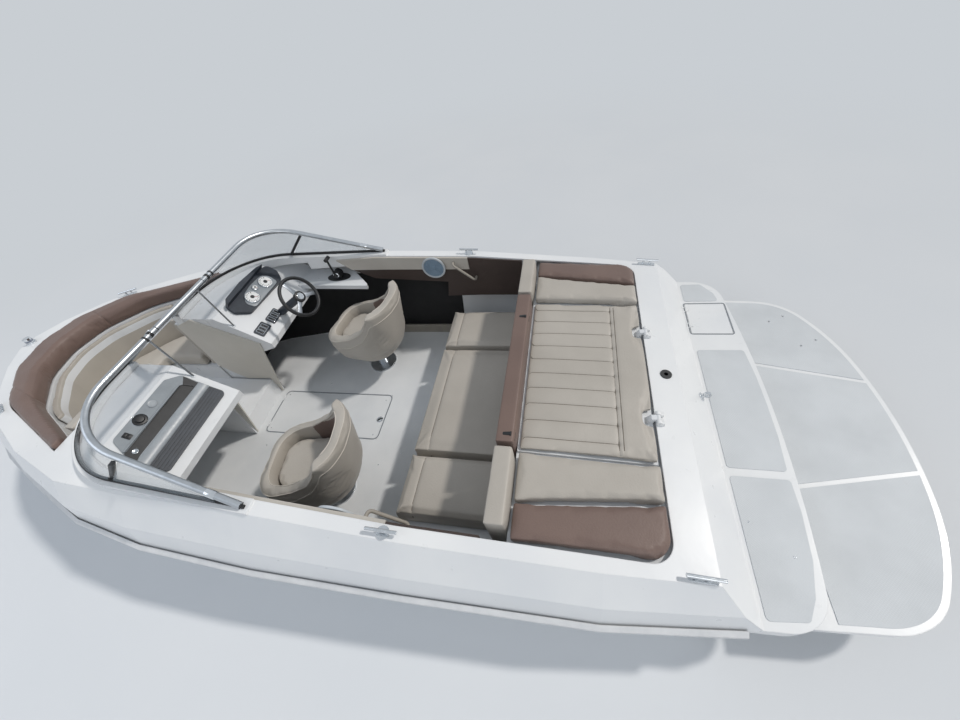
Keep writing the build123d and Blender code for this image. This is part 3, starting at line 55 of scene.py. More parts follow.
# %% Camera
camera_data = bpy.data.cameras.new("camera")
camera = bpy.data.objects.new("camera", camera_data)
scene.collection.objects.link(camera)
camera_data.sensor_width = 36.0
camera_data.lens = 14.24
camera_data.clip_start = 0.02
right = Vector((-0.9723, -0.1635, -0.1670)).normalized()
ahead = Vector((0.2331, -0.6246, -0.7454)).normalized()
up = right.cross(ahead).normalized()
right = ahead.cross(up).normalized()
turn = Matrix((right, up, -ahead)).transposed().to_4x4()
camera.matrix_world = Matrix.Translation((0.568, 1.408, 2.475)) @ turn
scene.camera = camera
print("the camera stands", round(camera.location.z, 2), "m above the water line")

# %% [markdown]
# ## Floor and light
# A few helpers come first. Some put an object in the operators' hands, one turns a hex colour
# into what a shader takes, and one adds a shader node with its settings and links.

# %% First helpers


def deselect():
    """Leaves edit mode and selects nothing."""
    if bpy.context.object and bpy.context.object.mode != "OBJECT":
        bpy.ops.object.mode_set(mode="OBJECT")
    bpy.ops.object.select_all(action="DESELECT")


def work_on(piece):
    """Makes one object the only one that the operators act on."""
    deselect()
    piece.select_set(True)
    bpy.context.view_layer.objects.active = piece
    return piece


def edit(piece):
    """Goes into edit mode with everything selected."""
    work_on(piece)
    bpy.ops.object.mode_set(mode="EDIT")
    bpy.ops.mesh.select_all(action="SELECT")


def modify(piece, kind, **settings):
    """Adds a modifier with its settings and applies it."""
    work_on(piece)
    step = piece.modifiers.new("step", kind)
    for key, value in settings.items():
        setattr(step, key, value)
    bpy.ops.object.modifier_apply(modifier="step")


print("the operators' helpers are ready")

# %% Shader helpers


def linear(code):
    """An sRGB hex colour as the linear values that a shader takes."""
    parts = [int(code[i : i + 2], 16) / 255 for i in (1, 3, 5)]
    return [c / 12.92 if c <= 0.04045 else ((c + 0.055) / 1.055) ** 2.4 for c in parts] + [1.0]


def add_node(tree, kind, settings):
    """Adds a shader node. A setting is the node's own value, or that of the socket it names:
    a number, a hex colour, or the output that is linked to it."""
    node = tree.nodes.new("ShaderNode" + kind)
    for key, value in settings.items():
        if isinstance(value, bpy.types.NodeSocket):
            tree.links.new(value, node.inputs[key])
        elif isinstance(key, str) and hasattr(node, key) and key not in node.inputs:
            setattr(node, key, value)
        else:
            is_colour = isinstance(value, str)
            node.inputs[key].default_value = linear(value) if is_colour else value
    return node


def plain(name, code, **values):
    """A material with one principled shader. Values name its sockets, with _ for a space.
    Gives the material, its tree, the shader and the object's own coordinates."""
    material = bpy.data.materials.new(name)
    material.use_nodes = True
    shader = material.node_tree.nodes["Principled BSDF"]
    shader.inputs["Base Color"].default_value = linear(code)
    for key, value in values.items():
        shader.inputs[key.replace("_", " ")].default_value = value
    where = add_node(material.node_tree, "TexCoord", {}).outputs["Object"]
    return material, material.node_tree, shader, where


def seen_directly(tree):
    """1 for a ray from the camera, or one that a mirror or glass sends on."""
    rays = add_node(tree, "LightPath", {}).outputs
    seen = rays["Is Camera Ray"]
    for other in (rays["Is Glossy Ray"], rays["Is Transmission Ray"]):
        either = add_node(tree, "Math", {"operation": "MAXIMUM", 0: seen, 1: other})
        seen = either.outputs["Value"]
    return seen


print("the shader helpers are ready")

# %% [markdown]
# The boat floats, so the floor lies at its waterline and hides the bottom, as water would.
# Away from the boat the floor fades into an even backdrop colour, so that no horizon shows.
# Only the camera sees that colour, so it adds no light.

# %% Floor
backdrop = "#c9ced3"
fade_from, fade_to = 3.5, 9.0  # metres from the middle of the floor
floor_paint, floor_tree, floor_shader, place = plain("floor_paint", "#d9dcdf", Roughness=0.85)
cloud = add_node(floor_tree, "TexNoise", {"Scale": 0.7, "Detail": 3.0, "Vector": place})
settings = {"data_type": "RGBA", 0: cloud.outputs["Fac"], 6: "#d4d8dc", 7: "#dee0e2"}
tint = add_node(floor_tree, "Mix", settings)
floor_tree.links.new(tint.outputs[2], floor_shader.inputs["Base Color"])
reach = add_node(floor_tree, "VectorMath", {"operation": "LENGTH", "Vector": place})
settings = {"From Min": fade_from, "From Max": fade_to, "Value": reach.outputs["Value"]}
away = add_node(floor_tree, "MapRange", settings | {"interpolation_type": "SMOOTHSTEP"})
settings = {0: away.outputs["Result"], 1: seen_directly(floor_tree)}
share = add_node(floor_tree, "Math", settings | {"operation": "MULTIPLY"})
even = add_node(floor_tree, "Emission", {"Color": backdrop}).outputs["Emission"]
settings = {0: share.outputs["Value"], 1: floor_shader.outputs["BSDF"], 2: even}
both = add_node(floor_tree, "MixShader", settings)
floor_out = floor_tree.nodes["Material Output"]
floor_tree.links.new(both.outputs["Shader"], floor_out.inputs["Surface"])
deselect()
bpy.ops.mesh.primitive_plane_add(size=800, location=(2, 0, 0))
floor = bpy.context.object
floor.name = "floor"
floor.data.materials.append(floor_paint)
print("floor:", floor.dimensions.x, "m wide")

# %% [markdown]
# A sun lamp, two broad lamps and a pale sky light the boat. The sun stands high off the
# stern, as in the picture, so that the backrests shade the seats in front of them.

# %% Sky and lamps
world = bpy.data.worlds.new("sky")
scene.world = world
world.use_nodes = True
sky_tree = world.node_tree
sky = sky_tree.nodes["Background"]
sky.inputs["Color"].default_value = linear("#dfe6ee")
sky.inputs["Strength"].default_value = 0.5
even = add_node(sky_tree, "Background", {"Color": backdrop}).outputs["Background"]
settings = {0: seen_directly(sky_tree), 1: sky.outputs["Background"], 2: even}
sky_mix = add_node(sky_tree, "MixShader", settings)
sky_out = sky_tree.nodes["World Output"]
sky_tree.links.new(sky_mix.outputs["Shader"], sky_out.inputs["Surface"])

# Lamps. Columns: name, kind, place, aimed at, width (the sun's is an angle), power, colour
lamps = (
    ("sun", "SUN", (-3.2, -2.2, 6.5), (2.0, 0, 0.3), 0.07, 1.75, "#fffaf4"),
    ("sky_side", "AREA", (6.5, 3.5, 5.5), (2.4, 0, 0.3), 5.0, 90, "#eaf2ff"),
    ("low_side", "AREA", (-1.5, 6.0, 3.0), (1.8, 0, 0.3), 4.0, 60, "#ffffff"),
)
for name, kind, spot, target, width, power, code in lamps:
    light = bpy.data.lights.new(name, kind)
    setattr(light, "angle" if kind == "SUN" else "size", width)
    light.energy = power
    light.color = linear(code)[:3]
    lamp = bpy.data.objects.new(name, light)
    lamp.location = spot
    lamp.rotation_euler = (Vector(target) - Vector(spot)).to_track_quat("-Z", "Y").to_euler()
    scene.collection.objects.link(lamp)
print("lamps:", ", ".join(row[0] for row in lamps))

# %% [markdown]
# ## Finishes
# Real surfaces share three layers: blots of a second colour from age or dirt, a gloss that
# varies from patch to patch, and a fine relief over rounded edges. Each layer is a function
# here, and each size in it is a real size in millimetres. A Bevel node rounds the light on
# edges, as a mould's radii do.

# %% Layers of a finish


def sized(where, millimetres, **more):
    """A texture's settings, from the real size of its pattern."""
    return {"Scale": 1000.0 / millimetres, "Vector": where, **more}


def blotches(tree, where, base, top, millimetres, span, detail=3.0, rough=0.5, share=1.0):
    """A top colour over a base in soft blots. span is the part of the noise that shows."""
    pattern = sized(where, millimetres, Detail=detail, Roughness=rough)
    soft = add_node(tree, "TexNoise", pattern).outputs["Fac"]
    settings = {"From Min": span[0], "From Max": span[1], "To Max": share, "Value": soft}
    amount = add_node(tree, "MapRange", settings).outputs["Result"]
    settings = {"data_type": "RGBA", 0: amount, 6: base, 7: top}
    return add_node(tree, "Mix", settings).outputs[2]


def patchy_gloss(tree, where, shader, low, high, millimetres, detail=4.0):
    """Lets the roughness wander between two values."""
    pattern = sized(where, millimetres, Detail=detail, Roughness=0.5)
    soft = add_node(tree, "TexNoise", pattern).outputs["Fac"]
    settings = {"To Min": low, "To Max": high, "Value": soft}
    gloss = add_node(tree, "MapRange", settings)
    tree.links.new(gloss.outputs["Result"], shader.inputs["Roughness"])


def fine_relief(tree, where, shader, edge, millimetres, depth):
    """Rounds the light on edges, in metres, and lays a fine texture of a stated depth on it."""
    rounded = add_node(tree, "Bevel", {"samples": 4, "Radius": edge}).outputs["Normal"]
    pattern = sized(where, millimetres, Detail=2.0, Roughness=0.5)
    soft = add_node(tree, "TexNoise", pattern).outputs["Fac"]
    settings = {"Strength": 1.0, "Distance": depth / 1000.0, "Height": soft, "Normal": rounded}
    bump = add_node(tree, "Bump", settings)
    tree.links.new(bump.outputs["Normal"], shader.inputs["Normal"])


print("layers: blotches, patchy gloss and fine relief")

# %% [markdown]
# ### Gelcoat
# Gelcoat is pigmented polyester sprayed into a polished mould. It has a deep even gloss, so
# the base is nearly white under a clear coat, and age shows as faint chalky clouds and as
# brown streaks.

# %% Gelcoat


def gelcoat_finish(name, fresh, aged, stained=0.1):
    """Polished gelcoat with chalky clouds and faint stains that run down."""
    coat = {"Coat_Weight": 0.35, "Coat_Roughness": 0.08}
    material, tree, shader, where = plain(name, fresh, Roughness=0.3, **coat)
    colour = blotches(tree, where, fresh, aged, 420, (0.35, 0.75))
    streaks = add_node(tree, "Mapping", {"Scale": (0.5, 1.6, 0.5), "Vector": where})
    run = streaks.outputs["Vector"]
    colour = blotches(tree, run, colour, "#b9a78c", 150, (0.62, 0.95), 6.0, 0.7, stained)
    tree.links.new(colour, shader.inputs["Base Color"])
    patchy_gloss(tree, where, shader, 0.22, 0.4, 60, 5.0)
    fine_relief(tree, where, shader, 0.006, 35, 0.25)
    return material


gelcoat = gelcoat_finish("gelcoat_white", "#eceded", "#e3e5e7")
gelcoat_inner = gelcoat_finish("gelcoat_cockpit", "#e6e8ea", "#dadde0", stained=0.16)
print("gelcoat: IOR 1.5, polished")

# %% [markdown]
# ### Non-skid
# The sole and the steps are moulded with a fine non-skid texture: rows of little pyramids
# about 3 mm apart. That is too fine for this view, so it is drawn at 9 mm.

# %% Non-skid
non_skid_cell, non_skid_depth = 9.0, 0.8  # millimetres


def non_skid_finish(name, fresh, wear_and_groove_tone, stained=0.2):
    """Moulded pyramids in diagonal rows with blots of wear, darker towards the grooves between
    them, and blots of dirt.
    """
    material, tree, shader, where = plain(name, fresh, Roughness=0.62)
    diagonal = add_node(tree, "Mapping", {"Rotation": (0, 0, radians(45)), "Vector": where})
    rows = diagonal.outputs["Vector"]
    pattern = sized(rows, non_skid_cell, Randomness=0.0, distance="CHEBYCHEV")
    cells = add_node(tree, "TexVoronoi", pattern).outputs["Distance"]
    colour = blotches(tree, where, fresh, wear_and_groove_tone, 260, (0.35, 0.75), 5.0)
    # The colour darkens towards the grooves between the pyramids
    groove_tone = add_node(tree, "MapRange", {"From Min": 0.35, "From Max": 0.9, "Value": cells})
    settings = {"data_type": "RGBA", 0: groove_tone.outputs["Result"], 6: colour, 7: wear_and_groove_tone}
    colour = add_node(tree, "Mix", settings).outputs[2]
    colour = blotches(tree, where, colour, "#a39178", 110, (0.63, 0.9), 8.0, 0.75, stained)
    tree.links.new(colour, shader.inputs["Base Color"])
    settings = {"Strength": 1.0, "Distance": -non_skid_depth / 1000, "Height": cells}
    bump = add_node(tree, "Bump", settings)
    tree.links.new(bump.outputs["Normal"], shader.inputs["Normal"])
    return material


non_skid = non_skid_finish("non_skid_platform", "#d3d7da", "#c6cacd")
sole_skid = non_skid_finish("non_skid_sole", "#e4e6e7", "#d8dbdd", 0.1)
print("non-skid cells:", non_skid_cell, "mm")

# %% [markdown]
# ### Vinyl
# Marine vinyl is a knitted cloth coated with soft PVC and embossed with a leather grain. It
# is matt with a slight sheen, and it dulls and darkens where people sit. The real grain of
# 1 to 2 mm is drawn at 7 mm. Long soft creases are a second, larger bump.

# %% Vinyl
vinyl_grain, crease_size = 7.0, 130.0  # millimetres


def vinyl_finish(name, fresh, soiled, depth=0.5, creases=1.6, rough=0.52):
    """Coated cloth. depth is the grain's and creases the folds', in millimetres."""
    sheen = {"Sheen_Weight": 0.12, "Sheen_Roughness": 0.4}
    material, tree, shader, where = plain(name, fresh, Roughness=rough, **sheen)
    pattern = sized(where, vinyl_grain, feature="SMOOTH_F1", Smoothness=0.6, Detail=1.0)
    pebbles = add_node(tree, "TexVoronoi", pattern).outputs["Distance"]
    pattern = sized(where, crease_size, Detail=4.0, Roughness=0.45, Distortion=0.8)
    rumple = add_node(tree, "TexNoise", pattern).outputs["Fac"]
    colour = blotches(tree, where, fresh, soiled, 300, (0.3, 0.75), 4.0)
    grain = add_node(tree, "MapRange", {"From Max": 0.9, "To Max": 0.3, "Value": pebbles})
    settings = {"data_type": "RGBA", 0: grain.outputs["Result"], 6: colour, 7: soiled}
    colour = add_node(tree, "Mix", settings).outputs[2]
    tree.links.new(colour, shader.inputs["Base Color"])
    patchy_gloss(tree, where, shader, rough - 0.1, rough + 0.1, 90)
    settings = {"Strength": 1.0, "Distance": creases / 1000, "Height": rumple}
    folds = add_node(tree, "Bump", settings).outputs["Normal"]
    settings = {"Strength": 1.0, "Distance": -depth / 1000, "Height": pebbles, "Normal": folds}
    bump = add_node(tree, "Bump", settings)
    tree.links.new(bump.outputs["Normal"], shader.inputs["Normal"])
    return material


vinyl_beige = vinyl_finish("marine_vinyl_beige", "#bcb6ad", "#ada79e")
vinyl_pale = vinyl_finish("marine_vinyl_greige", "#c3beb5", "#b5afa6")
# A lighter copy of the greige vinyl for the walkway panels: painted sunlight, since they face away
# from the sun lamp
painted_sunlit_panel_vinyl = vinyl_finish("marine_vinyl_panel", "#dad6ce", "#ccc8bf")
vinyl_brown = vinyl_finish("marine_vinyl_brown", "#7b675e", "#6c5952")
vinyl_dark = vinyl_finish("marine_vinyl_dark", "#453833", "#392e2a")
piping = vinyl_finish("vinyl_piping", "#cdc7bd", "#bdb6ac", 0.2, 0.2)
# Dark vinyl for the strips of painted shade that lie in the bottom of plain seams
painted_seam_shade = vinyl_finish("vinyl_seam_shade", "#7c746a", "#6c655c", 0.1, 0.1, 0.7)
# A black sheet of painted shade for the deep recesses: the side stores under the shelves and the
# helm's leg room
painted_shade_lining = vinyl_finish("store_lining_black", "#1a1a1b", "#262627", 0.8, 0.6, 0.8)
print("vinyl grain drawn at", vinyl_grain, "mm")

# %% [markdown]
# ### Metals
# The windscreen's tubes are anodised aluminium: a satin grey with fine die lines along the
# tube. The fittings are polished stainless steel. Salt spots dull both a little.

# %% Metals


def metal_finish(name, code, dulled, rough, spots=0.12, lines=0.0):
    """Metal with dull spots and lines drawn fore and aft, of a depth in millimetres."""
    material, tree, shader, where = plain(name, code, Metallic=1.0, Roughness=rough)
    colour = blotches(tree, where, code, dulled, 45, (0.4, 0.85), 5.0, 0.6)
    tree.links.new(colour, shader.inputs["Base Color"])
    patchy_gloss(tree, where, shader, rough, rough + spots, 14)
    drawn = add_node(tree, "Mapping", {"Scale": (0.02, 1.0, 1.0), "Vector": where})
    fine_relief(tree, drawn.outputs["Vector"], shader, 0.0015, 3, lines)
    return material


anodised = metal_finish("anodised_aluminium", "#c4c8cc", "#adb2b7", 0.24, 0.14, 0.05)
stainless = metal_finish("stainless_polished", "#dcdfe2", "#c2c6ca", 0.08, 0.14)
chromed = metal_finish("chrome_plate", "#e2e5e8", "#c9cdd2", 0.05, 0.1)
silver_paint = metal_finish("silver_spokes", "#aeb3b9", "#9aa0a7", 0.32, 0.1)
blade_metal = metal_finish("painted_blades", "#2b2d30", "#3a3c3f", 0.4, 0.2)
print("metals keep the default IOR")

# %% [markdown]
# ### Plastics, rubber and paint
# Moulded plastics come from a spark-eroded steel mould, which leaves a fine matt texture.
# Rubber is duller still. The drive is cast aluminium under black gloss paint.

# %% Plastics, rubber and paint


def moulded_finish(name, code, faded, rough=0.45, texture=4.0, depth=0.12, coat=0.0, edge=0.002):
    """A moulded or painted surface. texture and depth are millimetres, edge is metres."""
    material, tree, shader, where = plain(name, code, Roughness=rough, Coat_Weight=coat)
    colour = blotches(tree, where, code, faded, 70, (0.35, 0.8), 5.0, 0.6)
    tree.links.new(colour, shader.inputs["Base Color"])
    patchy_gloss(tree, where, shader, rough - 0.06, rough + 0.12, 25)
    fine_relief(tree, where, shader, edge, texture, depth)
    return material


black_plastic = moulded_finish("nylon_black", "#1b1c1e", "#2a2b2e", 0.42)
rubber_black = moulded_finish("rubber_black", "#1d1d1f", "#2c2c2d", 0.7)
gasket_grey = moulded_finish("hatch_gasket_grey", "#8a9096", "#7b8187", 0.6)
dash_black = moulded_finish("dash_blue_black", "#232a34", "#303843", 0.38)
dash_silver = moulded_finish("dash_silver_grey", "#a5abb0", "#959ba1", 0.34)
dash_plate = moulded_finish("dash_plate_grey", "#8f969c", "#82898f", 0.4)
rail_vinyl = moulded_finish("rub_rail_vinyl", "#d9dadb", "#c8cacc", 0.55, 9.0, 0.3, 0.0, 0.006)
speaker_blue = moulded_finish("speaker_blue_grey", "#7f94a6", "#6f8395", 0.5)
handle_beige = moulded_finish("moulded_beige", "#a09a90", "#928c83", 0.5)
handle_pale = moulded_finish("moulded_pale", "#c3c9cd", "#b2b8bd", 0.5)
drive_paint = moulded_finish(
    "drive_paint_black", "#17181a", "#222326", 0.28, 12.0, 0.15, 0.4, 0.004
)
engine_paint = moulded_finish("engine_paint", "#2a2b2e", "#353638", 0.5, 20.0, 0.4)
dial_white = moulded_finish("dial_face", "#e9eaea", "#dcdedf", 0.4)
marks_black = moulded_finish("dial_marks", "#141518", "#1d1e21", 0.5)
needle_red = moulded_finish("needle_red", "#b3331f", "#9c2c1b", 0.4)
print("plastics, rubber and paint are ready")

# %% [markdown]
# ### Glass
# The screen is clear tempered glass. It is drawn as a faint tint that still reflects, with a
# dried film of spray that dulls it in patches.

# %% Glass


def glass_finish(name, code, alpha):
    """Clear glass. alpha is how much of what lies behind it is covered."""
    clear = {"IOR": 1.52, "Alpha": alpha, "Coat_Weight": 0.5}
    material, tree, shader, where = plain(name, code, Roughness=0.03, **clear)
    colour = blotches(tree, where, code, "#cfd6da", 180, (0.45, 0.85), 5.0, 0.6)
    tree.links.new(colour, shader.inputs["Base Color"])
    patchy_gloss(tree, where, shader, 0.02, 0.12, 90, 6.0)
    return material


screen_glass = glass_finish("tempered_glass", "#a9b9c2", 0.2)
lens_dark = glass_finish("lamp_lens", "#2a3c66", 0.8)
print("two kinds of glass")

# %% [markdown]
# ### Finishes on the CAD parts
# Hard parts whose CAD shape is right keep it and only take a finish.

# %% Finishes on the CAD nodes
finishes = {
    gelcoat: "hull deck swim_extension ladder_lid",
    gelcoat_inner: "stern_liner bench_base engine_lid console_port console_starboard "
    "bow_liner bow_coaming",
    sole_skid: "cockpit_sole locker_lid",
    non_skid: "step_pads",
    vinyl_dark: "side_panels",
    vinyl_pale: "side_pads",
    # The walkway panels take the lighter copy of the greige vinyl, as painted sunlight
    painted_sunlit_panel_vinyl: "walkway_panels",
    anodised: "windscreen_frame_port windscreen_frame_starboard centre_screen_frame "
    "seat_pedestals",
    stainless: "cleats tow_eye bow_eye trim_rods",
    chromed: "nav_light",
    screen_glass: "windscreen_glass centre_screen_glass",
    black_plastic: "throttle_box stern_light_socket",
    dash_black: "helm_dash",
    rail_vinyl: "rub_rail",
    handle_beige: "grab_handles store_lips",
    drive_paint: "gimbal_housing drive_yoke drive_leg trim_cylinders",
    engine_paint: "engine",
    blade_metal: "propeller",
}
dressed = []
for finish_of, names in finishes.items():
    for node in names.split():
        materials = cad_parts[node].data.materials
        materials.clear()
        materials.append(finish_of)
        dressed.append(node)
print("replaced further down:", ", ".join(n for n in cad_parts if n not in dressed))

# %% [markdown]
# ## Cushions
# A cushion is foam in a sewn cover: its faces crown between the seams and its corners are
# full and round. Each one starts as the CAD solid, gets an even skin by a voxel remesh and
# is shrunk a little, and is then blown up by Cloth with pressure. The sewn lines come last,
# because a remesh would fill them.

# %% Helpers for the cushions
both_sides = ((-1, "starboard"), (1, "port"))
weld = 0.00002  # two points nearer than this are one


def copy_of(node, name):
    """A CAD node's mesh as a new object with one closed skin."""
    piece = bpy.data.objects.new(name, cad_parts[node].data.copy())
    scene.collection.objects.link(piece)
    piece.data.materials.clear()
    work_on(piece)
    bpy.ops.mesh.customdata_custom_splitnormals_clear()
    edit(piece)
    bpy.ops.mesh.remove_doubles(threshold=weld)
    bpy.ops.object.mode_set(mode="OBJECT")
    return piece


def middle(piece):
    """The middle of a mesh's box."""
    low = [min(v.co[i] for v in piece.data.vertices) for i in range(3)]
    high = [max(v.co[i] for v in piece.data.vertices) for i in range(3)]
    return Vector([(a + b) / 2 for a, b in zip(low, high)])


def loose_parts(piece, order):
    """Splits a mesh into its separate solids, sorted by order, a function of their middles."""
    edit(piece)
    bpy.ops.mesh.separate(type="LOOSE")
    bpy.ops.object.mode_set(mode="OBJECT")
    return sorted(bpy.context.selected_objects, key=lambda o: order(middle(o)))


def cut(piece, point, normal, drop=None):
    """Cuts along a plane. drop says which side goes: "front" is the normal's."""
    edit(piece)
    bpy.ops.mesh.bisect(
        plane_co=point,
        plane_no=normal,
        use_fill=drop is not None,
        clear_outer=drop == "front",
        clear_inner=drop == "back",
    )
    bpy.ops.object.mode_set(mode="OBJECT")
    return piece


def part_beyond(piece, name, point, normal):
    """Splits off a copy of what lies on the normal's side, and keeps the rest in piece."""
    other = piece.copy()
    other.data = piece.data.copy()
    other.name = name
    scene.collection.objects.link(other)
    cut(other, point, normal, "back")
    cut(piece, point, normal, "front")
    return other


print("copies, cuts and loose parts are ready")

# %% Swelling
held_strip = 0.012  # a cushion's lowest strip is fixed to its board
cloth_frames = 20
cover_cloth = {
    "quality": 3,
    "mass": 0.3,
    "tension_stiffness": 12,
    "compression_stiffness": 12,
    "bending_stiffness": 0.6,
    "use_pressure": True,
}


def swell(piece, voxel=0.01, shrink=0.003, cap=0.012, pressure=4.0, soften=3):
    """Even skin, rounded corners, then Cloth with pressure, its movement capped."""
    modify(piece, "REMESH", mode="VOXEL", voxel_size=voxel)
    edit(piece)
    bpy.ops.mesh.vertices_smooth(factor=0.5, repeat=soften)
    bpy.ops.object.mode_set(mode="OBJECT")
    mesh = piece.data
    rest = [v.co.copy() for v in mesh.vertices]
    out = [v.normal.copy() for v in mesh.vertices]
    floor_z = min(v.z for v in rest)
    for vertex, spot, normal in zip(mesh.vertices, rest, out):
        vertex.co = spot - normal * shrink
    start = [v.co.copy() for v in mesh.vertices]
    held = piece.vertex_groups.new(name="held")
    held.add([i for i, v in enumerate(start) if v.z < floor_z + held_strip], 1.0, "REPLACE")
    cloth = piece.modifiers.new("cloth", "CLOTH")
    for key, value in cover_cloth.items():
        setattr(cloth.settings, key, value)
    cloth.settings.uniform_pressure_force = pressure
    cloth.settings.effector_weights.gravity = 0
    cloth.settings.vertex_group_mass = "held"
    cloth.point_cache.frame_start = 1
    cloth.point_cache.frame_end = cloth_frames
    for number in range(1, cloth_frames + 1):
        scene.frame_set(number)
    blown = piece.evaluated_get(bpy.context.evaluated_depsgraph_get())
    grown = [v.co.copy() for v in blown.data.vertices]
    piece.modifiers.remove(cloth)
    piece.vertex_groups.clear()
    for vertex, before, after in zip(mesh.vertices, start, grown):
        step = after - before
        vertex.co = before + step * min(1.0, cap / max(step.length, 1e-9))
    scene.frame_set(1)
    return piece


def finer(piece):
    """Subdivides a finished skin once."""
    modify(piece, "SUBSURF", levels=1, render_levels=1)
    bpy.ops.object.shade_smooth()
    return piece


print("covers swell in", cloth_frames, "frames of cloth, on voxels of 10 to 12 mm")

# %% [markdown]
# Sewing draws the skin in near a line, and the pull fades out within a few of its widths.

# %% Sewing


def nearest_on_path(spot, path):
    """Distance from a point to a run of straight pieces."""
    best = 1e9
    for a, b in zip(path, path[1:]):
        run = b - a
        t = max(0.0, min(1.0, (spot - a).dot(run) / run.length_squared))
        best = min(best, (spot - a - run * t).length)
    return best


def sew(piece, paths, facing, depth=0.006, width=0.012, flat=None, spread=0.3):
    """Pulls a skin in along sewn lines. flat is the axis that the lines don't mind."""
    paths = [[Vector(p) for p in path] for path in paths]
    face, reach = Vector(facing), 4 * width
    if flat is not None:
        for path in paths:
            for p in path:
                p[flat] = 0.0
    boxes = [
        (
            Vector([min(p[i] for p in path) - reach for i in range(3)]),
            Vector([max(p[i] for p in path) + reach for i in range(3)]),
        )
        for path in paths
    ]
    normals = [v.normal.copy() for v in piece.data.vertices]
    for vertex, normal in zip(piece.data.vertices, normals):
        lean = normal.dot(face)
        if lean < spread:
            continue
        spot = vertex.co.copy()
        if flat is not None:
            spot[flat] = 0.0
        near = 1e9
        for path, (low, high) in zip(paths, boxes):
            if all(low[i] <= spot[i] <= high[i] for i in range(3)):
                near = min(near, nearest_on_path(spot, path))
        if near < reach:
            vertex.co -= normal * depth * exp(-near / width)
    piece.data.update()
    return piece


def upholstered(piece, vinyl, body, node):
    """Gives a finished cushion its cover, hangs it on its body and hides the CAD node that it
    stands for.
    """
    piece.data.materials.append(vinyl)
    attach(piece, body)
    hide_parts(node)


print("sewing and upholstering are ready")

# %% [markdown]
# ### The sun pad
# The pad on the engine lid is quilted: ten seams run fore and aft and end at a double cross
# seam, and a plain border runs along its aft edge. The seams are cut in as real edges first,
# so that each valley is crisp, and then drawn down. The foam bulges between them by itself.

# %% Sun pad on the engine lid
sun_pad = swell(copy_of("engine_lid_pad", "sun_pad"), voxel=0.012, shrink=0.004, cap=0.008)
finer(sun_pad)
seam_pitch = 0.104
channel_seams = [-0.468 + seam_pitch * i for i in range(10)]
pad_front, pad_top = 0.83, (0, 0, 1)
# The double cross seam. Columns: x, half its length, depth, width
cross_seams = ((0.335, 0.56, 0.006, 0.009), (0.313, 0.54, 0.003, 0.006))
border_x = cross_seams[0][0]
cut(sun_pad, (border_x, 0, 0), (1, 0, 0))
for y in channel_seams:
    cut(sun_pad, (0, y, 0), (0, 1, 0))
lines = [[(border_x, y, 0), (pad_front, y, 0)] for y in channel_seams]
sew(sun_pad, lines, pad_top, depth=0.0075, width=0.013, flat=2)
for x, half, depth, width in cross_seams:
    sew(sun_pad, [[(x, -half, 0), (x, half, 0)]], pad_top, depth, width, flat=2)
upholstered(sun_pad, vinyl_beige, "engine_lid", "engine_lid_pad")
print("sun pad:", len(sun_pad.data.vertices), "points,", len(channel_seams), "seams")

# %% [markdown]
# ### The side pads
# Each stern side pad has a beige inner cushion and a brown outer one, so the solid is split
# along their slanting line before the two are blown up, and the pair meets in a real joint.

# %% Side pads
inner_aft, inner_fwd = Vector((0.148, 0.729, 0)), Vector((0.831, 0.806, 0))
joint_run, half_gap = inner_fwd - inner_aft, 0.0015
pads = loose_parts(copy_of("sunpads_side", "stern_pad"), lambda m: m.y)
for (side, word), solid in zip(both_sides, pads):
    solid.name = "stern_pad_inner_" + word
    normal = Vector((-joint_run.y, side * joint_run.x, 0)).normalized()
    point = Vector((inner_aft.x, side * inner_aft.y, 0))
    split = point + normal * half_gap
    outer = part_beyond(solid, "stern_pad_outer_" + word, split, normal)
    for piece, vinyl in ((solid, vinyl_beige), (outer, vinyl_brown)):
        finer(swell(piece, voxel=0.010, shrink=0.004, cap=0.010, soften=9))
        upholstered(piece, vinyl, "boat", "sunpads_side")
print("side pads: two on each side")

# %% [markdown]
# ### The bench
# The seat has three cushions with a roll along the front edge, and the back has a wide brown
# middle and two beige ends. The roll is a seam that runs the length of each cushion.

# %% Bench cushions
roll_x = 1.42
bench_front, lower_seam_z = 1.53, 0.335
thirds = ("starboard", "middle", "port")
seats = loose_parts(copy_of("bench_cushions", "bench_seat"), lambda m: m.y)
for word, piece in zip(thirds, seats):
    piece.name = "bench_seat_" + word
    finer(swell(piece, voxel=0.012, shrink=0.005, cap=0.014))
    cut(piece, (roll_x, 0, 0), (1, 0, 0))
    sew(piece, [[(roll_x, -1, 0), (roll_x, 1, 0)]], (0, 0, 1), 0.008, 0.011, flat=2)
    low_seam = [(bench_front, -1, lower_seam_z), (bench_front, 1, lower_seam_z)]
    sew(piece, [low_seam], (1, 0, 0), 0.004, 0.008)
    upholstered(piece, vinyl_beige, "boat", "bench_cushions")
backs = loose_parts(copy_of("bench_backrests", "bench_back"), lambda m: m.y)
for word, piece in zip(thirds, backs):
    piece.name = "bench_back_" + word
    finer(swell(piece, voxel=0.011, shrink=0.005, cap=0.010))
    vinyl = vinyl_brown if word == "middle" else vinyl_beige
    upholstered(piece, vinyl, "boat", "bench_backrests")
print("bench: three seats and three backs")

# %% [markdown]
# ### The bow
# Round the bow runs a brown bolster in three lengths, over a beige backrest. A white lip runs
# along the front backrest, so it is cut at two heights and the strip between takes gelcoat.

# %% Bow cushions
bolster = copy_of("bow_bolster", "bow_bolster_roll")
finer(swell(bolster, voxel=0.012, shrink=0.004, cap=0.010))
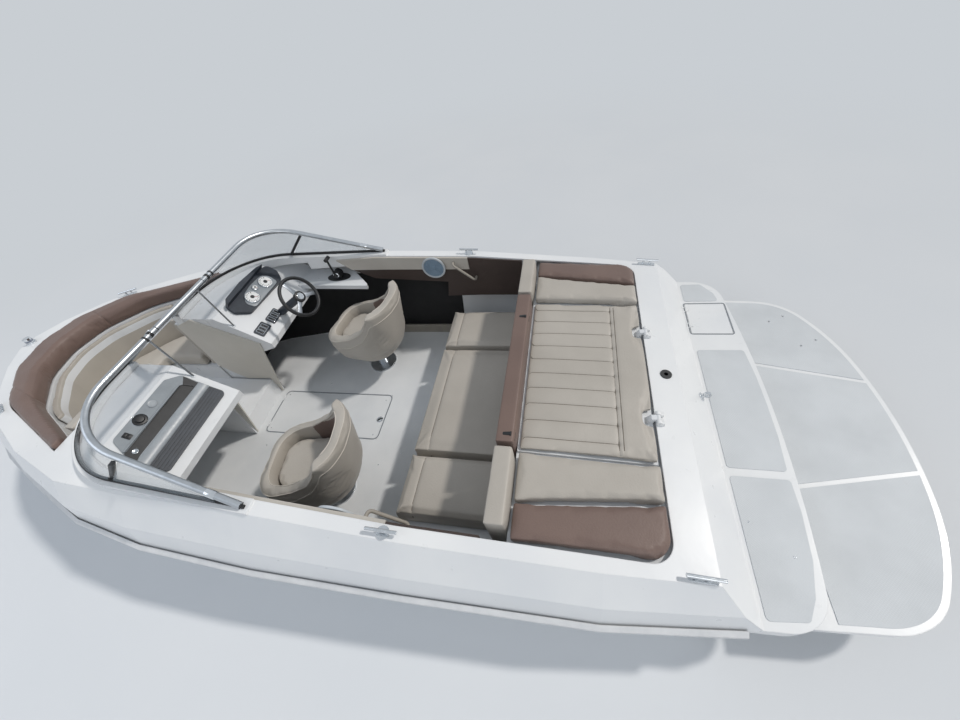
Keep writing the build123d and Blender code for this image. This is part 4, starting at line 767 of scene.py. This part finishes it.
# Joints of the bolster's three lengths. Columns: outer end, inner end
bolster_joints = (
    ((4.427, 0.418, 0), (4.137, 0.479, 0)),
    ((4.416, -0.331, 0), (4.162, -0.24, 0)),
)
for outer_end, inner_end in bolster_joints:
    run = Vector(inner_end) - Vector(outer_end)
    line = [outer_end, Vector(outer_end) + run * 1.2]
    sew(bolster, [line], (0, 0, 1), 0.008, 0.006, flat=2, spread=-0.4)
upholstered(bolster, vinyl_brown, "boat", "bow_bolster")
lip_low, lip_high = 0.715, 0.768
backs = loose_parts(copy_of("bow_backrests", "bow_back"), lambda m: m.x * 10 + m.y)
for word, piece in zip(("starboard", "port", "front"), backs):
    piece.name = "bow_back_" + word
    finer(swell(piece, voxel=0.010, shrink=0.004, cap=0.010))
    if word == "front":
        for level in (lip_low, lip_high):
            cut(piece, (0, 0, level), (0, 0, 1))
    upholstered(piece, vinyl_beige, "boat", "bow_backrests")
    if word == "front":
        piece.data.materials.append(gelcoat_inner)
        for face in piece.data.polygons:
            if lip_low < face.center.z < lip_high and face.normal.x < -0.2:
                face.material_index = 1
seats = loose_parts(copy_of("bow_seat_cushions", "bow_seat"), lambda m: m.y)
for word, piece in zip(("starboard", "port"), seats):
    piece.name = "bow_seat_" + word
    finer(swell(piece, voxel=0.012, shrink=0.005, cap=0.012))
    upholstered(piece, vinyl_pale, "boat", "bow_seat_cushions")
print("bow: bolster, backrests and two seats")

# %% [markdown]
# ### The bucket seats
# A bucket seat is one thick padded shell round a seat cushion, and its front lip is the roll
# under the knees. The shell's skin is smoothed more than the others, which turns the CAD
# facets into the round foam form.

# %% Bucket seats
for name in ("helm", "port"):
    body = name + "_seat"
    shell = copy_of(name + "_seat_shell", name + "_bucket")
    finer(swell(shell, 0.011, 0.003, 0.008, 3.0, soften=12))
    upholstered(shell, vinyl_beige, body, name + "_seat_shell")
    shell.data.materials.append(vinyl_brown)
    seat_pad = copy_of(name + "_seat_cushion", name + "_seat_pad")
    finer(swell(seat_pad, 0.010, 0.003, 0.008, soften=6))
    upholstered(seat_pad, vinyl_beige, body, name + "_seat_cushion")
print("bucket seats: two")

# %% [markdown]
# ### Piping
# A welt is a vinyl tube with a cord inside, sewn between two panels, so it stands half out of
# the seam. Its points are first moved onto the finished skin, and a curve with a round bevel
# then follows them.

# %% Piping on the cushions


def fitted(piece, material, body="boat", nodes=()):
    """Dresses a finished piece and says what it rides on."""
    piece.data.materials.clear()
    piece.data.materials.append(material)
    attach(piece, body)
    if nodes:
        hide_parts(*nodes)
    return piece


def on_skin(base, point, straight_down):
    """The spot of a cushion's skin under a point, or the one that is nearest to it."""
    if straight_down:
        found, spot = base.ray_cast(Vector(point), Vector((0, 0, -1)))[:2]
        if found:
            return spot
    return base.closest_point_on_mesh(Vector(point))[1]


def welt(name, base, points, body, radius=0.0038, closed=True, vinyl=piping, drop=False):
    """Piping that lies on a cushion along points, which are first moved onto its skin."""
    bpy.context.view_layer.update()
    line = bpy.data.curves.new(name, "CURVE")
    line.dimensions = "3D"
    line.bevel_depth = radius
    line.bevel_resolution = 2
    line.use_fill_caps = True
    run = line.splines.new("NURBS")
    spots = [on_skin(base, p, drop) for p in points]
    run.points.add(len(spots) - 1)
    for point, spot in zip(run.points, spots):
        point.co = (*spot, 1.0)
    run.order_u = 3
    run.use_endpoint_u = not closed
    run.use_cyclic_u = closed
    piece = bpy.data.objects.new(name, line)
    scene.collection.objects.link(piece)
    work_on(piece)
    bpy.ops.object.convert(target="MESH")
    piece = bpy.context.object
    bpy.ops.object.shade_smooth()
    return fitted(piece, vinyl, body)


print("welts follow a cushion's skin")

# %% [markdown]
# A bucket's edge is an oval in plan, and its height follows the side profile. The welts and
# the brown inside of the backrest are found from that one curve.

# %% Welts on the buckets
# The bucket's sizes, as the model has them, in metres
bucket_half, bucket_front, bucket_back, bucket_lean = 0.25, 0.265, 0.29, 0.09
bucket_rim, wall = 0.85, 0.062
squareness = 3.2  # the power of the plan's oval: 2 is an ellipse
brown_from, brown_edge = -0.02, 0.012  # the brown lies aft of this, and this far below the edge
side_profile = (
    (-0.27, 0.85), (-0.24, 0.79), (-0.16, 0.70), (-0.02, 0.625), (0.15, 0.578), (0.4, 0.552)
)


def rim_height(u):
    """Height of the bucket's upper edge at a distance forward of the pivot."""
    if u <= side_profile[0][0]:
        return bucket_rim
    for (u0, z0), (u1, z1) in zip(side_profile, side_profile[1:]):
        if u <= u1:
            return z0 + (z1 - z0) * (u - u0) / (u1 - u0)
    return side_profile[-1][1]


def bucket_line(seat, drop, inset=0.0, count=72):
    """Points round the bucket's outside, a stated drop below its upper edge."""
    spin, pivot = seat
    out = []
    for i in range(count):
        u, v = cos(2 * pi * i / count), sin(2 * pi * i / count)
        reach = bucket_front if u > 0 else bucket_back + bucket_lean * 0.8
        along, across = abs(u / (reach - inset)), abs(v / (bucket_half - inset))
        size = (along**squareness + across**squareness) ** (-1 / squareness)
        u, v = u * size, v * size
        x = pivot[0] + u * cos(spin) - v * sin(spin)
        y = pivot[1] + u * sin(spin) + v * cos(spin)
        out.append((x, y, rim_height(u) - drop))
    return out


def inner_back(face, seat):
    """True for a face of the backrest's inside, below its upper edge."""
    spin, pivot = seat
    x, y = face.center.x - pivot[0], face.center.y - pivot[1]
    u, v = x * cos(spin) + y * sin(spin), y * cos(spin) - x * sin(spin)
    along, across = abs(u / (bucket_back + 0.01)), abs(v / (bucket_half - wall))
    inside = along**squareness + across**squareness < 1.0
    inward = face.normal.x * x + face.normal.y * y < 0
    return u < brown_from and inside and inward and face.center.z < rim_height(u) - brown_edge


# The two seats' turns and pivots, and the welts: drop below the edge, inset
bucket_seats = {"helm": (radians(-8), (2.19, -0.56)), "port": (radians(8), (2.12, 0.60))}
welts = {"rim": (0.012, 0.0), "inner": (0.004, wall), "low": (0.085, 0.0)}
for name, seat in bucket_seats.items():
    shell = bpy.data.objects[name + "_bucket"]
    for word, (drop, inset) in welts.items():
        points = bucket_line(seat, drop, inset)
        welt(name + "_piping_" + word, shell, points, name + "_seat")
    for face in shell.data.polygons:
        if inner_back(face, seat):
            face.material_index = 1
print("piping: three welts on each bucket")

# %% [markdown]
# A plain sewn seam has no welt: only its shadow shows, so a thin dark strip of painted
# shade lies in the bottom of each valley.

# %% Painted shade in the seams


def seam(name, base, ends, body="boat", steps=20):
    """A dark strip of painted shade along a straight seam, in the valley of the cushion's skin."""
    a, b = Vector(ends[0]), Vector(ends[1])
    points = [a.lerp(b, i / steps) for i in range(steps + 1)]
    return welt(name, base, points, body, 0.0021, closed=False, vinyl=painted_seam_shade, drop=True)


over_pad, over_bench = 0.83, 0.44  # heights from which the strips of painted seam shade are dropped
seam_shade_aft, seam_shade_front, seam_shade_half = border_x + 0.004, 0.815, 0.5
for i, y in enumerate(channel_seams):
    ends = ((seam_shade_aft, y, over_pad), (seam_shade_front, y, over_pad))
    seam("sun_pad_painted_seam_shade_" + str(i + 1), sun_pad, ends, "engine_lid")
for i, (x, *_) in enumerate(cross_seams):
    ends = ((x, -seam_shade_half, over_pad), (x, seam_shade_half, over_pad))
    seam("sun_pad_painted_cross_shade_" + str(i + 1), sun_pad, ends, "engine_lid")
for word, (y0, y1) in zip(thirds, ((-0.84, -0.445), (-0.425, 0.425), (0.445, 0.81))):
    ends = ((roll_x, y0, over_bench), (roll_x, y1, over_bench))
    seam("bench_painted_seam_shade_" + word, bpy.data.objects["bench_seat_" + word], ends)
print("seams:", len(channel_seams) + len(cross_seams) + len(thirds))

# %% [markdown]
# ## Hard pieces
# Knobs, dials, rims and lamps are turned shapes. Each starts as a cylinder whose top face is
# inset and moved step by step, as a lathe steps a profile. Plates start as a cube or a flat
# outline. Bevel then breaks every edge, because a real moulded edge always has a radius.

# %% Helpers for the hard pieces
sharp_edge, smooth_below = radians(35), radians(40)


def settle(piece, place, tilt=(0, 0, 0)):
    """Turns and moves a piece, and puts that into its mesh."""
    work_on(piece)
    piece.rotation_euler = tilt
    piece.location = place
    bpy.ops.object.transform_apply(location=True, rotation=True, scale=True)
    return piece


def pick_faces(piece, test):
    """Goes into edit mode with only those faces selected that pass a test."""
    work_on(piece)
    bpy.ops.object.mode_set(mode="EDIT")
    bpy.ops.mesh.select_mode(type="FACE")
    bpy.ops.mesh.select_all(action="DESELECT")
    bpy.ops.object.mode_set(mode="OBJECT")
    for face in piece.data.polygons:
        face.select = bool(test(face))
    bpy.ops.object.mode_set(mode="EDIT")


def break_edges(piece, width):
    """Rounds all sharp edges a little and shades the rest smooth."""
    work_on(piece)
    if width:
        limits = {"limit_method": "ANGLE", "angle_limit": sharp_edge}
        modify(piece, "BEVEL", width=width, segments=2, **limits)
    bpy.ops.object.shade_smooth_by_angle(angle=smooth_below)
    return piece


print("settle, pick_faces and break_edges are ready")

# %% Turned pieces and plates


def turned(name, radius, height, steps, place, tilt=(0, 0, 0), sides=48, soft=0.0006):
    """A turned part. Each step insets its top face and raises it."""
    deselect()
    bpy.ops.mesh.primitive_cylinder_add(
        vertices=sides, radius=radius, depth=height, location=(0, 0, height / 2)
    )
    piece = bpy.context.object
    piece.name = name
    bpy.ops.object.transform_apply(location=True, rotation=True, scale=True)
    pick_faces(piece, lambda face: face.normal.z > 0.9)
    for inset, rise in steps:
        bpy.ops.mesh.inset(thickness=inset, depth=rise)
    break_edges(piece, soft)
    return settle(piece, place, tilt)


def plate(name, points, thick, place, tilt=(0, 0, 0), corner=0.0, soft=0.001):
    """A plate of a stated outline, with round corners in plan and broken edges."""
    mesh = bpy.data.meshes.new(name)
    mesh.from_pydata([(x, y, 0) for x, y in points], [], [list(range(len(points)))])
    piece = bpy.data.objects.new(name, mesh)
    scene.collection.objects.link(piece)
    edit(piece)
    bpy.ops.mesh.extrude_region_move(TRANSFORM_OT_translate={"value": (0, 0, thick)})
    bpy.ops.mesh.select_all(action="SELECT")
    bpy.ops.mesh.normals_make_consistent(inside=False)
    if corner:
        bpy.ops.mesh.select_mode(type="EDGE")
        bpy.ops.mesh.select_all(action="DESELECT")
        bpy.ops.object.mode_set(mode="OBJECT")
        for edge in piece.data.edges:
            a, b = (piece.data.vertices[i].co for i in edge.vertices)
            edge.select = abs(a.z - b.z) > 0.5 * thick
        bpy.ops.object.mode_set(mode="EDIT")
        bpy.ops.mesh.bevel(offset=corner, segments=6, affect="EDGES")
    bpy.ops.object.mode_set(mode="OBJECT")
    break_edges(piece, soft)
    return settle(piece, place, tilt)


def oblong(long, wide):
    """The corners of a rectangle round the middle."""
    a, b = long / 2, wide / 2
    return [(a, -b), (a, b), (-a, b), (-a, -b)]


def open_frame(name, long, wide, band, thick, place, corner=0.02, tilt=(0, 0, 0)):
    """A flat frame: a plate whose two faces are inset and bridged."""
    piece = plate(name, oblong(long, wide), thick, (0, 0, 0), corner=corner, soft=0.0)
    pick_faces(piece, lambda face: abs(face.normal.z) > 0.9)
    bpy.ops.mesh.inset(thickness=band, depth=0)
    bpy.ops.mesh.bridge_edge_loops()
    bpy.ops.object.mode_set(mode="OBJECT")
    break_edges(piece, thick * 0.2)
    return settle(piece, place, tilt)


def joined(pieces, name):
    """Several meshes as one piece."""
    deselect()
    for piece in pieces:
        piece.select_set(True)
    bpy.context.view_layer.objects.active = pieces[0]
    bpy.ops.object.join()
    pieces[0].name = name
    return pieces[0]


print("turned, plate and open_frame are ready")

# %% [markdown]
# ### Painted shade in the stores
# Below the side panels the side store is lined with a black sheet that paints its deep shade,
# and so is the leg room at the helm. The lining follows the hull's own inner faces: they are
# copied, trimmed and given a thickness, so it lies on the wall wherever that curves.

# %% Store linings of painted shade


def lining(name, node, cuts, test, thick=0.003):
    """Copies a node's faces that pass a test, after cuts, and gives them a thickness, as a black
    sheet of painted shade.
    """
    piece = copy_of(node, name)
    for point, normal in cuts:
        cut(piece, point, normal)
    pick_faces(piece, lambda face: not test(face))
    bpy.ops.mesh.delete(type="FACE")
    bpy.ops.object.mode_set(mode="OBJECT")
    modify(piece, "SOLIDIFY", thickness=thick, offset=1.0)
    bpy.ops.object.shade_smooth_by_angle(angle=smooth_below)
    return fitted(piece, painted_shade_lining)


store_aft, store_low, store_high = 1.52, 0.085, 0.80
store_fore = {"starboard": 3.46, "port": 2.75}
store_inner = 0.6
well_aft, well_fore, well_inner, well_low, well_high = 2.9, 3.468, -0.225, 0.02, 0.87
store_cuts = [((x, 0, 0), (1, 0, 0)) for x in (store_aft, *store_fore.values())]
store_cuts += [((0, 0, z), (0, 0, 1)) for z in (store_low, store_high)]
for side, word in both_sides:
    lining(
        "store_lining_" + word,
        "hull",
        store_cuts,
        lambda f: (
            store_aft < f.center.x < store_fore[word]
            and store_low < f.center.z < store_high
            and side * f.center.y > store_inner
            and side * f.normal.y < -0.2
        ),
    )
lining(
    "helm_footwell_painted_shade",
    "console_starboard",
    [],
    lambda f: (
        well_aft < f.center.x < well_fore
        and f.center.y < well_inner
        and well_low < f.center.z < well_high
        and (f.normal.x < -0.8 or f.normal.y < -0.8)
    ),
)
print("linings: two side stores and the helm's leg room")

# %% [markdown]
# ### The steering wheel
# The rim is one moulding over a steel ring, so a torus is squashed to an oval grip. Three
# pressed spokes taper towards the rim, and a black cap with a bright ring covers the nut.

# %% Steering wheel
wheel_spot, wheel_tilt = (2.56, -0.52, 0.88), (0, radians(-60), 0)
wheel_radius, grip_radius, grip_oval = 0.15, 0.0128, 1.08
deselect()
bpy.ops.mesh.primitive_torus_add(
    major_radius=wheel_radius, minor_radius=grip_radius, major_segments=96, minor_segments=18
)
wheel_rim = bpy.context.object
wheel_rim.name = "wheel_rim"
edit(wheel_rim)
bpy.ops.transform.resize(value=(1, 1, grip_oval))
bpy.ops.object.mode_set(mode="OBJECT")
bpy.ops.object.shade_smooth()
wheel_pieces = [(wheel_rim, black_plastic, "black_plastic")]
spokes = []
spoke_edge = [(0.03, -0.02), (0.09, -0.014), (0.143, -0.017)]
spoke_outline = spoke_edge + [(x, -y) for x, y in reversed(spoke_edge)]
for turn in (0, 120, 240):
    spoke = plate("spoke", spoke_outline, 0.007, (0, 0, -0.008), soft=0.002)
    spokes.append(settle(spoke, (0, 0, 0), (0, 0, radians(turn))))
wheel_pieces.append((joined(spokes, "wheel_spokes"), silver_paint, "steel_rod"))
wheel_cap = turned("wheel_cap", 0.043, 0.026, [(0.006, 0.003), (0.02, 0.002)], (0, 0, -0.02))
wheel_boss = turned("wheel_boss", 0.016, 0.06, [(0.002, 0.0)], (0, 0, -0.078))
wheel_pieces.append((joined([wheel_cap, wheel_boss], "wheel_cap"), black_plastic, "black_plastic"))
ring_steps = [(0.004, 0.0008), (0.0006, -0.0016)]
wheel_ring = turned("wheel_ring", 0.027, 0.003, ring_steps, (0, 0, 0.009))
wheel_pieces.append((wheel_ring, chromed, "chrome"))
for piece, finish_of, slot_name in wheel_pieces:
    settle(piece, wheel_spot, wheel_tilt)
    fitted(piece, finish_of, "steering_wheel", ["steering_wheel"])
print("wheel:", 2 * wheel_radius, "m across at the rim's middle")

# %% [markdown]
# ### The helm
# The dials sit on a grey plate under the dark binnacle. A dial is a chromed rim round a white
# face, with marks and a needle as thin raised pieces, so they keep their shape close up.

# %% Instruments
dash_low, dash_high = (2.765, 0.682), (3.096, 0.940)
dash_lean = atan2(dash_high[1] - dash_low[1], dash_high[0] - dash_low[0])
dash_tilt = (0, -dash_lean, 0)


def on_dash(up, y, high):
    """A point by its distance up the dash, its y and its height off the slope."""
    return (
        dash_low[0] + up * cos(dash_lean) - high * sin(dash_lean),
        y,
        dash_low[1] + up * sin(dash_lean) + high * cos(dash_lean),
    )


pod_top = 0.0343
instrument_plate = plate(
    "instrument_plate",
    [
        (0.232, -0.44), (0.30, -0.432), (0.352, -0.49), (0.362, -0.60),
        (0.35, -0.735), (0.30, -0.772), (0.222, -0.755),
    ],
    0.004,
    on_dash(0, 0, pod_top),
    dash_tilt,
    corner=0.022,
)
fitted(instrument_plate, dash_plate)
# Dials. Columns: distance up the dash, y, radius, needle angle in degrees, sweep marks
dials = (
    (0.293, -0.508, 0.056, 215, 13),
    (0.290, -0.695, 0.056, 240, 13),
    (0.322, -0.602, 0.025, 190, 5),
)
rim_steps = [(0.002, 0.002), (0.004, 0.0), (0.0015, -0.004)]
rims, faces, marks, needles = [], [], [], []
normal = Vector((-sin(dash_lean), 0, cos(dash_lean)))
for up_dash, y, radius, needle_at, count in dials:
    spot = Vector(on_dash(up_dash, y, pod_top + 0.003))
    face_spot, mark_spot, needle_spot = (spot + normal * h for h in (0.0086, 0.0098, 0.0112))
    face_radius = radius - 0.0078
    rims.append(turned("dial_rim", radius, 0.010, rim_steps, spot, dash_tilt, 64))
    faces.append(
        turned("dial_face", face_radius, 0.001, [(0.004, 0.0004)], face_spot, dash_tilt, 64)
    )
    for i in range(count):
        long_mark = i % 3 == 0 or count == 5
        length, width = (0.24 if long_mark else 0.13) * radius, 0.06 * radius + 0.0006
        mark = plate("mark", oblong(length, width), 0.0006, (0.70 * radius, 0, 0), soft=0.0)
        settle(mark, (0, 0, 0), (0, 0, radians(-45 + 270 * i / (count - 1))))
        marks.append(settle(mark, mark_spot, dash_tilt))
    tail, tip = -0.2 * radius, 0.66 * radius
    outline = [(tail, -0.0016), (tip, -0.0005), (tip, 0.0005), (tail, 0.0016)]
    needle = plate("needle", outline, 0.0008, (0, 0, 0), soft=0.0)
    settle(needle, (0, 0, 0), (0, 0, radians(needle_at)))
    needles.append(settle(needle, needle_spot, dash_tilt))
    marks.append(
        turned("needle_hub", 0.26 * radius, 0.003, [(0.001, 0.0004)], mark_spot, dash_tilt, 24)
    )
fitted(joined(rims, "dial_rims"), chromed)
fitted(joined(faces, "dial_faces"), dial_white)
fitted(joined(marks, "dial_marks"), marks_black)
fitted(joined(needles, "dial_needles"), needle_red)
print("instruments:", len(dials), "dials")

# %% [markdown]
# Below the dials stand two panels of three rocker switches, each in a bright bezel. The
# throttle's bright hub closes the lever's pivot on its box.

# %% Switches and the throttle's hub
# Two switch panels of three rockers: distance up the dash and y of each
switches = [(0.11, -0.27 - 0.03 * i) for i in range(3)]
switches += [(0.10, -0.415 - 0.04 * i) for i in range(3)]
switch_high = 0.0085
rockers, bezels = [], []
for up_dash, y in switches:
    middle_spot, upper, lower = (
        on_dash(up_dash + shift, y, switch_high) for shift in (0, 0.012, -0.012)
    )
    bezels.append(
        open_frame("rocker_bezel", 0.056, 0.026, 0.0035, 0.003, middle_spot, 0.004, dash_tilt)
    )
    rockers.append(turned("rocker", 0.009, 0.004, [(0.002, 0.001)], upper, dash_tilt, 24))
    rockers.append(plate("rocker_tip", oblong(0.022, 0.016), 0.006, lower, dash_tilt, 0.003))
fitted(joined(bezels, "switch_bezels"), chromed)
fitted(joined(rockers, "switch_rockers"), black_plastic)
hub_steps = [(0.004, 0.003), (0.008, 0.001), (0.004, -0.003)]
hub_spot, inboard = (2.478, -0.911, 0.773), (radians(-90), 0, 0)
fitted(turned("throttle_hub", 0.027, 0.008, hub_steps, hub_spot, inboard), chromed)
print("helm:", len(switches), "switches and the throttle's hub")

# %% [markdown]
# ### The port dash
# The CAD has its relief: a plate, a recess with a bar, a rounded band and a ribbed strip. On
# the real part these are separate mouldings, so a copy gets its own finish for each stretch
# of the slope.

# %% Port dash
port_dash = copy_of("glovebox", "port_dash")
for finish_of in (dash_plate, black_plastic, dash_silver, dash_black):
    port_dash.data.materials.append(finish_of)
stretch_ends = (0.3055, 0.2345, 0.163)  # distances up the dash where the finish changes
for face in port_dash.data.polygons:
    lifted = face.center - Vector((dash_low[0], 0, dash_low[1]))
    up_dash = lifted.x * cos(dash_lean) + lifted.z * sin(dash_lean)
    face.material_index = sum(up_dash <= end for end in stretch_ends)
work_on(port_dash)
bpy.ops.object.shade_smooth_by_angle(angle=radians(30))
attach(port_dash, "boat")
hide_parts("glovebox")
# Turned pieces. Columns: name, radius, height, steps, place on the dash, finish, slot
turned_pieces = (
    (
        "radio_knob", 0.037, 0.006, [(0.004, 0.002), (0.010, 0.0), (0.001, 0.012), (0.006, 0.001)],
        (0.355, 0.605, 0.0092), black_plastic, "black_plastic",
    ),
    (
        "knob_ring", 0.04, 0.003, [(0.002, 0.0006), (0.002, -0.001)],
        (0.355, 0.605, 0.0088), chromed, "chrome",
    ),
    (
        "socket_cover", 0.024, 0.004, [(0.003, 0.002), (0.002, -0.001), (0.01, 0.001)],
        (0.362, 0.494, 0.0092), dash_silver, "dash",
    ),
    (
        "box_catch", 0.016, 0.006, [(0.003, 0.002), (0.004, -0.002)],
        (0.27, 0.775, 0.002), chromed, "chrome",
    ),
)
for name, radius, height, steps, spot, finish_of, slot_name in turned_pieces:
    piece = turned(name, radius, height, steps, on_dash(*spot), dash_tilt)
    fitted(piece, finish_of)
# The switch's plate and its two halves. Columns: outline, height, distance up the dash, corner
switch_parts = (
    (oblong(0.045, 0.032), 0.004, 0.352, 0.004),
    (oblong(0.018, 0.02), 0.009, 0.362, 0.003),
    (oblong(0.014, 0.02), 0.007, 0.343, 0.003),
)
switch_plates = [
    plate("port_switch", outline, height, on_dash(up_dash, 0.712, 0.0092), dash_tilt, corner)
    for outline, height, up_dash, corner in switch_parts
]
fitted(joined(switch_plates, "port_switch"), black_plastic)
print("port dash: four finishes, a knob, a socket cover, a switch and a catch")

# %% [markdown]
# ### Speakers
# A marine speaker is a pale rim round a grille of rings and ribs. The rings are steps of one
# turned shape, and the ribs are thin bars laid across them.

# %% Speakers
speaker_x, speaker_z, speaker_face = 1.631, 0.777, 0.947
for side, word in both_sides:
    out = (radians(90 * side), 0, 0)
    back = (speaker_x, side * (speaker_face + 0.010), speaker_z)
    steps = [(0.003, 0.002), (0.010, 0.0005), (0.002, -0.007)]
    rim = turned("speaker_rim_" + word, 0.095, 0.010, steps, back, out, 72, 0.001)
    fitted(rim, handle_pale, "boat", ["speakers"])
    ring = [(0.0026, 0.0022), (0.0026, 0.0), (0.0026, -0.0022), (0.0035, 0.0)]
    steps = [(0.006, 0.0)] + ring * 5 + [(0.002, 0.004), (0.004, 0.001)]
    grille = turned("grille", 0.081, 0.0072, steps, (0, 0, 0), sides=72, soft=0.0003)
    ribs = []
    for i in range(12):
        rib = plate("rib", oblong(0.052, 0.0028), 0.0025, (0.047, 0, 0.0066), soft=0.0004)
        ribs.append(settle(rib, (0, 0, 0), (0, 0, radians(30 * i + 15))))
    grille = settle(joined([grille] + ribs, "speaker_grille_" + word), back, out)
    fitted(grille, speaker_blue, "boat", ["speakers"])
print("speakers: five rings and twelve ribs each")

# %% [markdown]
# ### Windscreen trim
# The glass stands in a black rubber gasket, black clamps hold the joints of the top rail, and
# the side post is a black extrusion. The gasket is drawn as a skin over the CAD gasket.

# %% Windscreen trim
foot_rise, foot_aft = 0.045, (2.020, 0.912)
foot_low, foot_high = -0.002, 0.0155  # heights off the foot's line
centre_post_y, centre_post_x, foot_start = 0.245, 3.40, 2.0
post_inner, post_outer = 0.9445, 0.9695
skin = 0.0007  # how far the gasket's skin stands off the CAD part


def in_gasket(face, side):
    """True for a face of the frame's rubber foot, but not of the inner post."""
    over = face.center.z - foot_aft[1] - (face.center.x - foot_aft[0]) * foot_rise
    inner_post = side * face.center.y < centre_post_y and face.center.x < centre_post_x
    return foot_low < over < foot_high and not inner_post and face.center.x > foot_start


for side, word in both_sides:
    gasket = copy_of("windscreen_frame_" + word, "screen_gasket_" + word)
    pick_faces(gasket, lambda face: not in_gasket(face, side))
    bpy.ops.mesh.delete(type="FACE")
    bpy.ops.mesh.select_all(action="SELECT")
    bpy.ops.transform.shrink_fatten(value=skin)
    bpy.ops.object.mode_set(mode="OBJECT")
    fitted(gasket, rubber_black)
    sleeve = plate(
        "screen_post_" + word,
        [(2.8135, 0.961), (2.8405, 0.961), (2.6265, 1.151), (2.5995, 1.151)],
        post_outer - post_inner,
        (0, post_outer if side > 0 else -post_inner, 0),
        (radians(90), 0, 0),
        soft=0.002,
    )
    fitted(sleeve, black_plastic)
    bands = []
    # Clamp bands on the top rail. Columns: place, run of the rail there, width
    rail_clamps = (
        ((2.890, 0.262 * side, 1.2763), (0, 1, 0), 0.018),
        ((2.890, 0.30 * side, 1.2763), (0, 1, 0), 0.012),
        ((2.166, 0.990 * side, 0.9830), (0.919, -0.128 * side, 0.372), 0.05),
    )
    for spot, run, wide in rail_clamps:
        facing = Vector(run).to_track_quat("Z", "Y").to_euler()
        start = Vector(spot) - Vector(run).normalized() * wide / 2
        bands.append(turned("band", 0.0192, wide, [(0.001, 0.0)], start, facing, 32))
    fitted(joined(bands[:2], "rail_bands_" + word), black_plastic)
    fitted(bands[2], chromed)
    bands[2].name = "rail_end_clamp_" + word
print("gaskets, posts and rail clamps on both sides")

# %% [markdown]
# ### Hatches, latches and screws
# Each hatch lies in a thin grey gasket with round corners. A turn latch, the screws and the
# hooks between the backrest and the sun pad are small, but the eye looks for them.

# %% Hatches, latches and screws
sole_top, platform_top = 0.080, 0.449
# Seals. Columns: name, length, width, band, thickness, place, corner
seals = (
    ("sole_hatch_seal", 1.012, 0.412, 0.008, 0.0015, (2.485, 0, sole_top), 0.045),
    ("step_hatch_seal", 0.269, 0.311, 0.006, 0.0012, (-0.3425, -0.7015, platform_top), 0.02),
)
for seal in seals:
    fitted(open_frame(*seal), gasket_grey)
latch_spot, grip_spot = (2.02, 0.03, sole_top), (2.02, 0.03, sole_top + 0.003)
latch_steps = [(0.003, 0.001), (0.004, -0.0015), (0.003, 0.0), (0.0015, 0.001)]
latch = turned("sole_latch", 0.026, 0.003, latch_steps, latch_spot)
fitted(latch, stainless, "locker_lid")
latch_grip = plate("sole_latch_grip", oblong(0.036, 0.008), 0.004, grip_spot, (0, 0, 0.6), 0.003)
fitted(latch_grip, black_plastic, "locker_lid")


def screws(spots, name, body):
    """Pan-head screws with a cross slot's dimple, as one piece."""
    steps = [(0.0008, 0.0006), (0.0014, 0.0), (0.0006, -0.0008)]
    heads = [turned("screw", 0.0045, 0.0012, steps, p, sides=20, soft=0.0002) for p in spots]
    return fitted(joined(heads, name), stainless, body)


lid_corners = ((2.03, -0.15), (2.03, 0.165), (2.95, -0.165), (2.95, 0.165))
lid_screws = [(x, y, sole_top) for x, y in lid_corners]
screws(lid_screws, "lid_screws", "locker_lid")
deck_screws = [(-0.252, 0.671, 0.452), (-0.397, 0.805, 0.452), (-0.16, 0.99, 0.4495)]
sole_screws = [(1.75, 0.30), (1.90, 0.40), (2.90, 0.32), (2.60, -0.30)]
deck_screws += [(x, y, sole_top) for x, y in sole_screws]
screws(deck_screws, "deck_screws", "boat")
print("two hatch seals, one latch and", len(lid_screws + deck_screws), "screws")

# %% Hooks and the bow lamp's lens
# A hook's three plates. Columns: length, width, height, x, z, tilt, corner, soft edge
hook_parts = (
    (0.036, 0.05, 0.008, 0.846, 0.806, 0, 0.006, 0.002),
    (0.012, 0.03, 0.03, 0.850, 0.806, 0, 0.004, 0.003),
    (0.045, 0.018, 0.008, 0.866, 0.832, 0.15, 0.006, 0.003),
)
hooks = [
    plate("hook", oblong(long, wide), high, (x, y, z), (0, tilt, 0), corner, soft)
    for y in (0.50, -0.33)
    for long, wide, high, x, z, tilt, corner, soft in hook_parts
]
fitted(joined(hooks, "pad_hooks"), black_plastic)
lamp_low, lamp_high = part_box("nav_light")
lamp_spot = Vector([(a + b) / 2 for a, b in zip(lamp_low, lamp_high)])
lens_depth = 0.032  # from the lamp's top to the lens's foot
lamp_spot.z = lamp_high[2] - lens_depth
lens_steps = [(0.003, 0.004), (0.005, 0.004), (0.007, 0.003), (0.006, 0.001)]
nav_lens = turned("nav_lens", 0.0272, 0.014, lens_steps, lamp_spot, soft=0.002)
fitted(nav_lens, lens_dark)
print("two hooks and the bow lamp's lens")
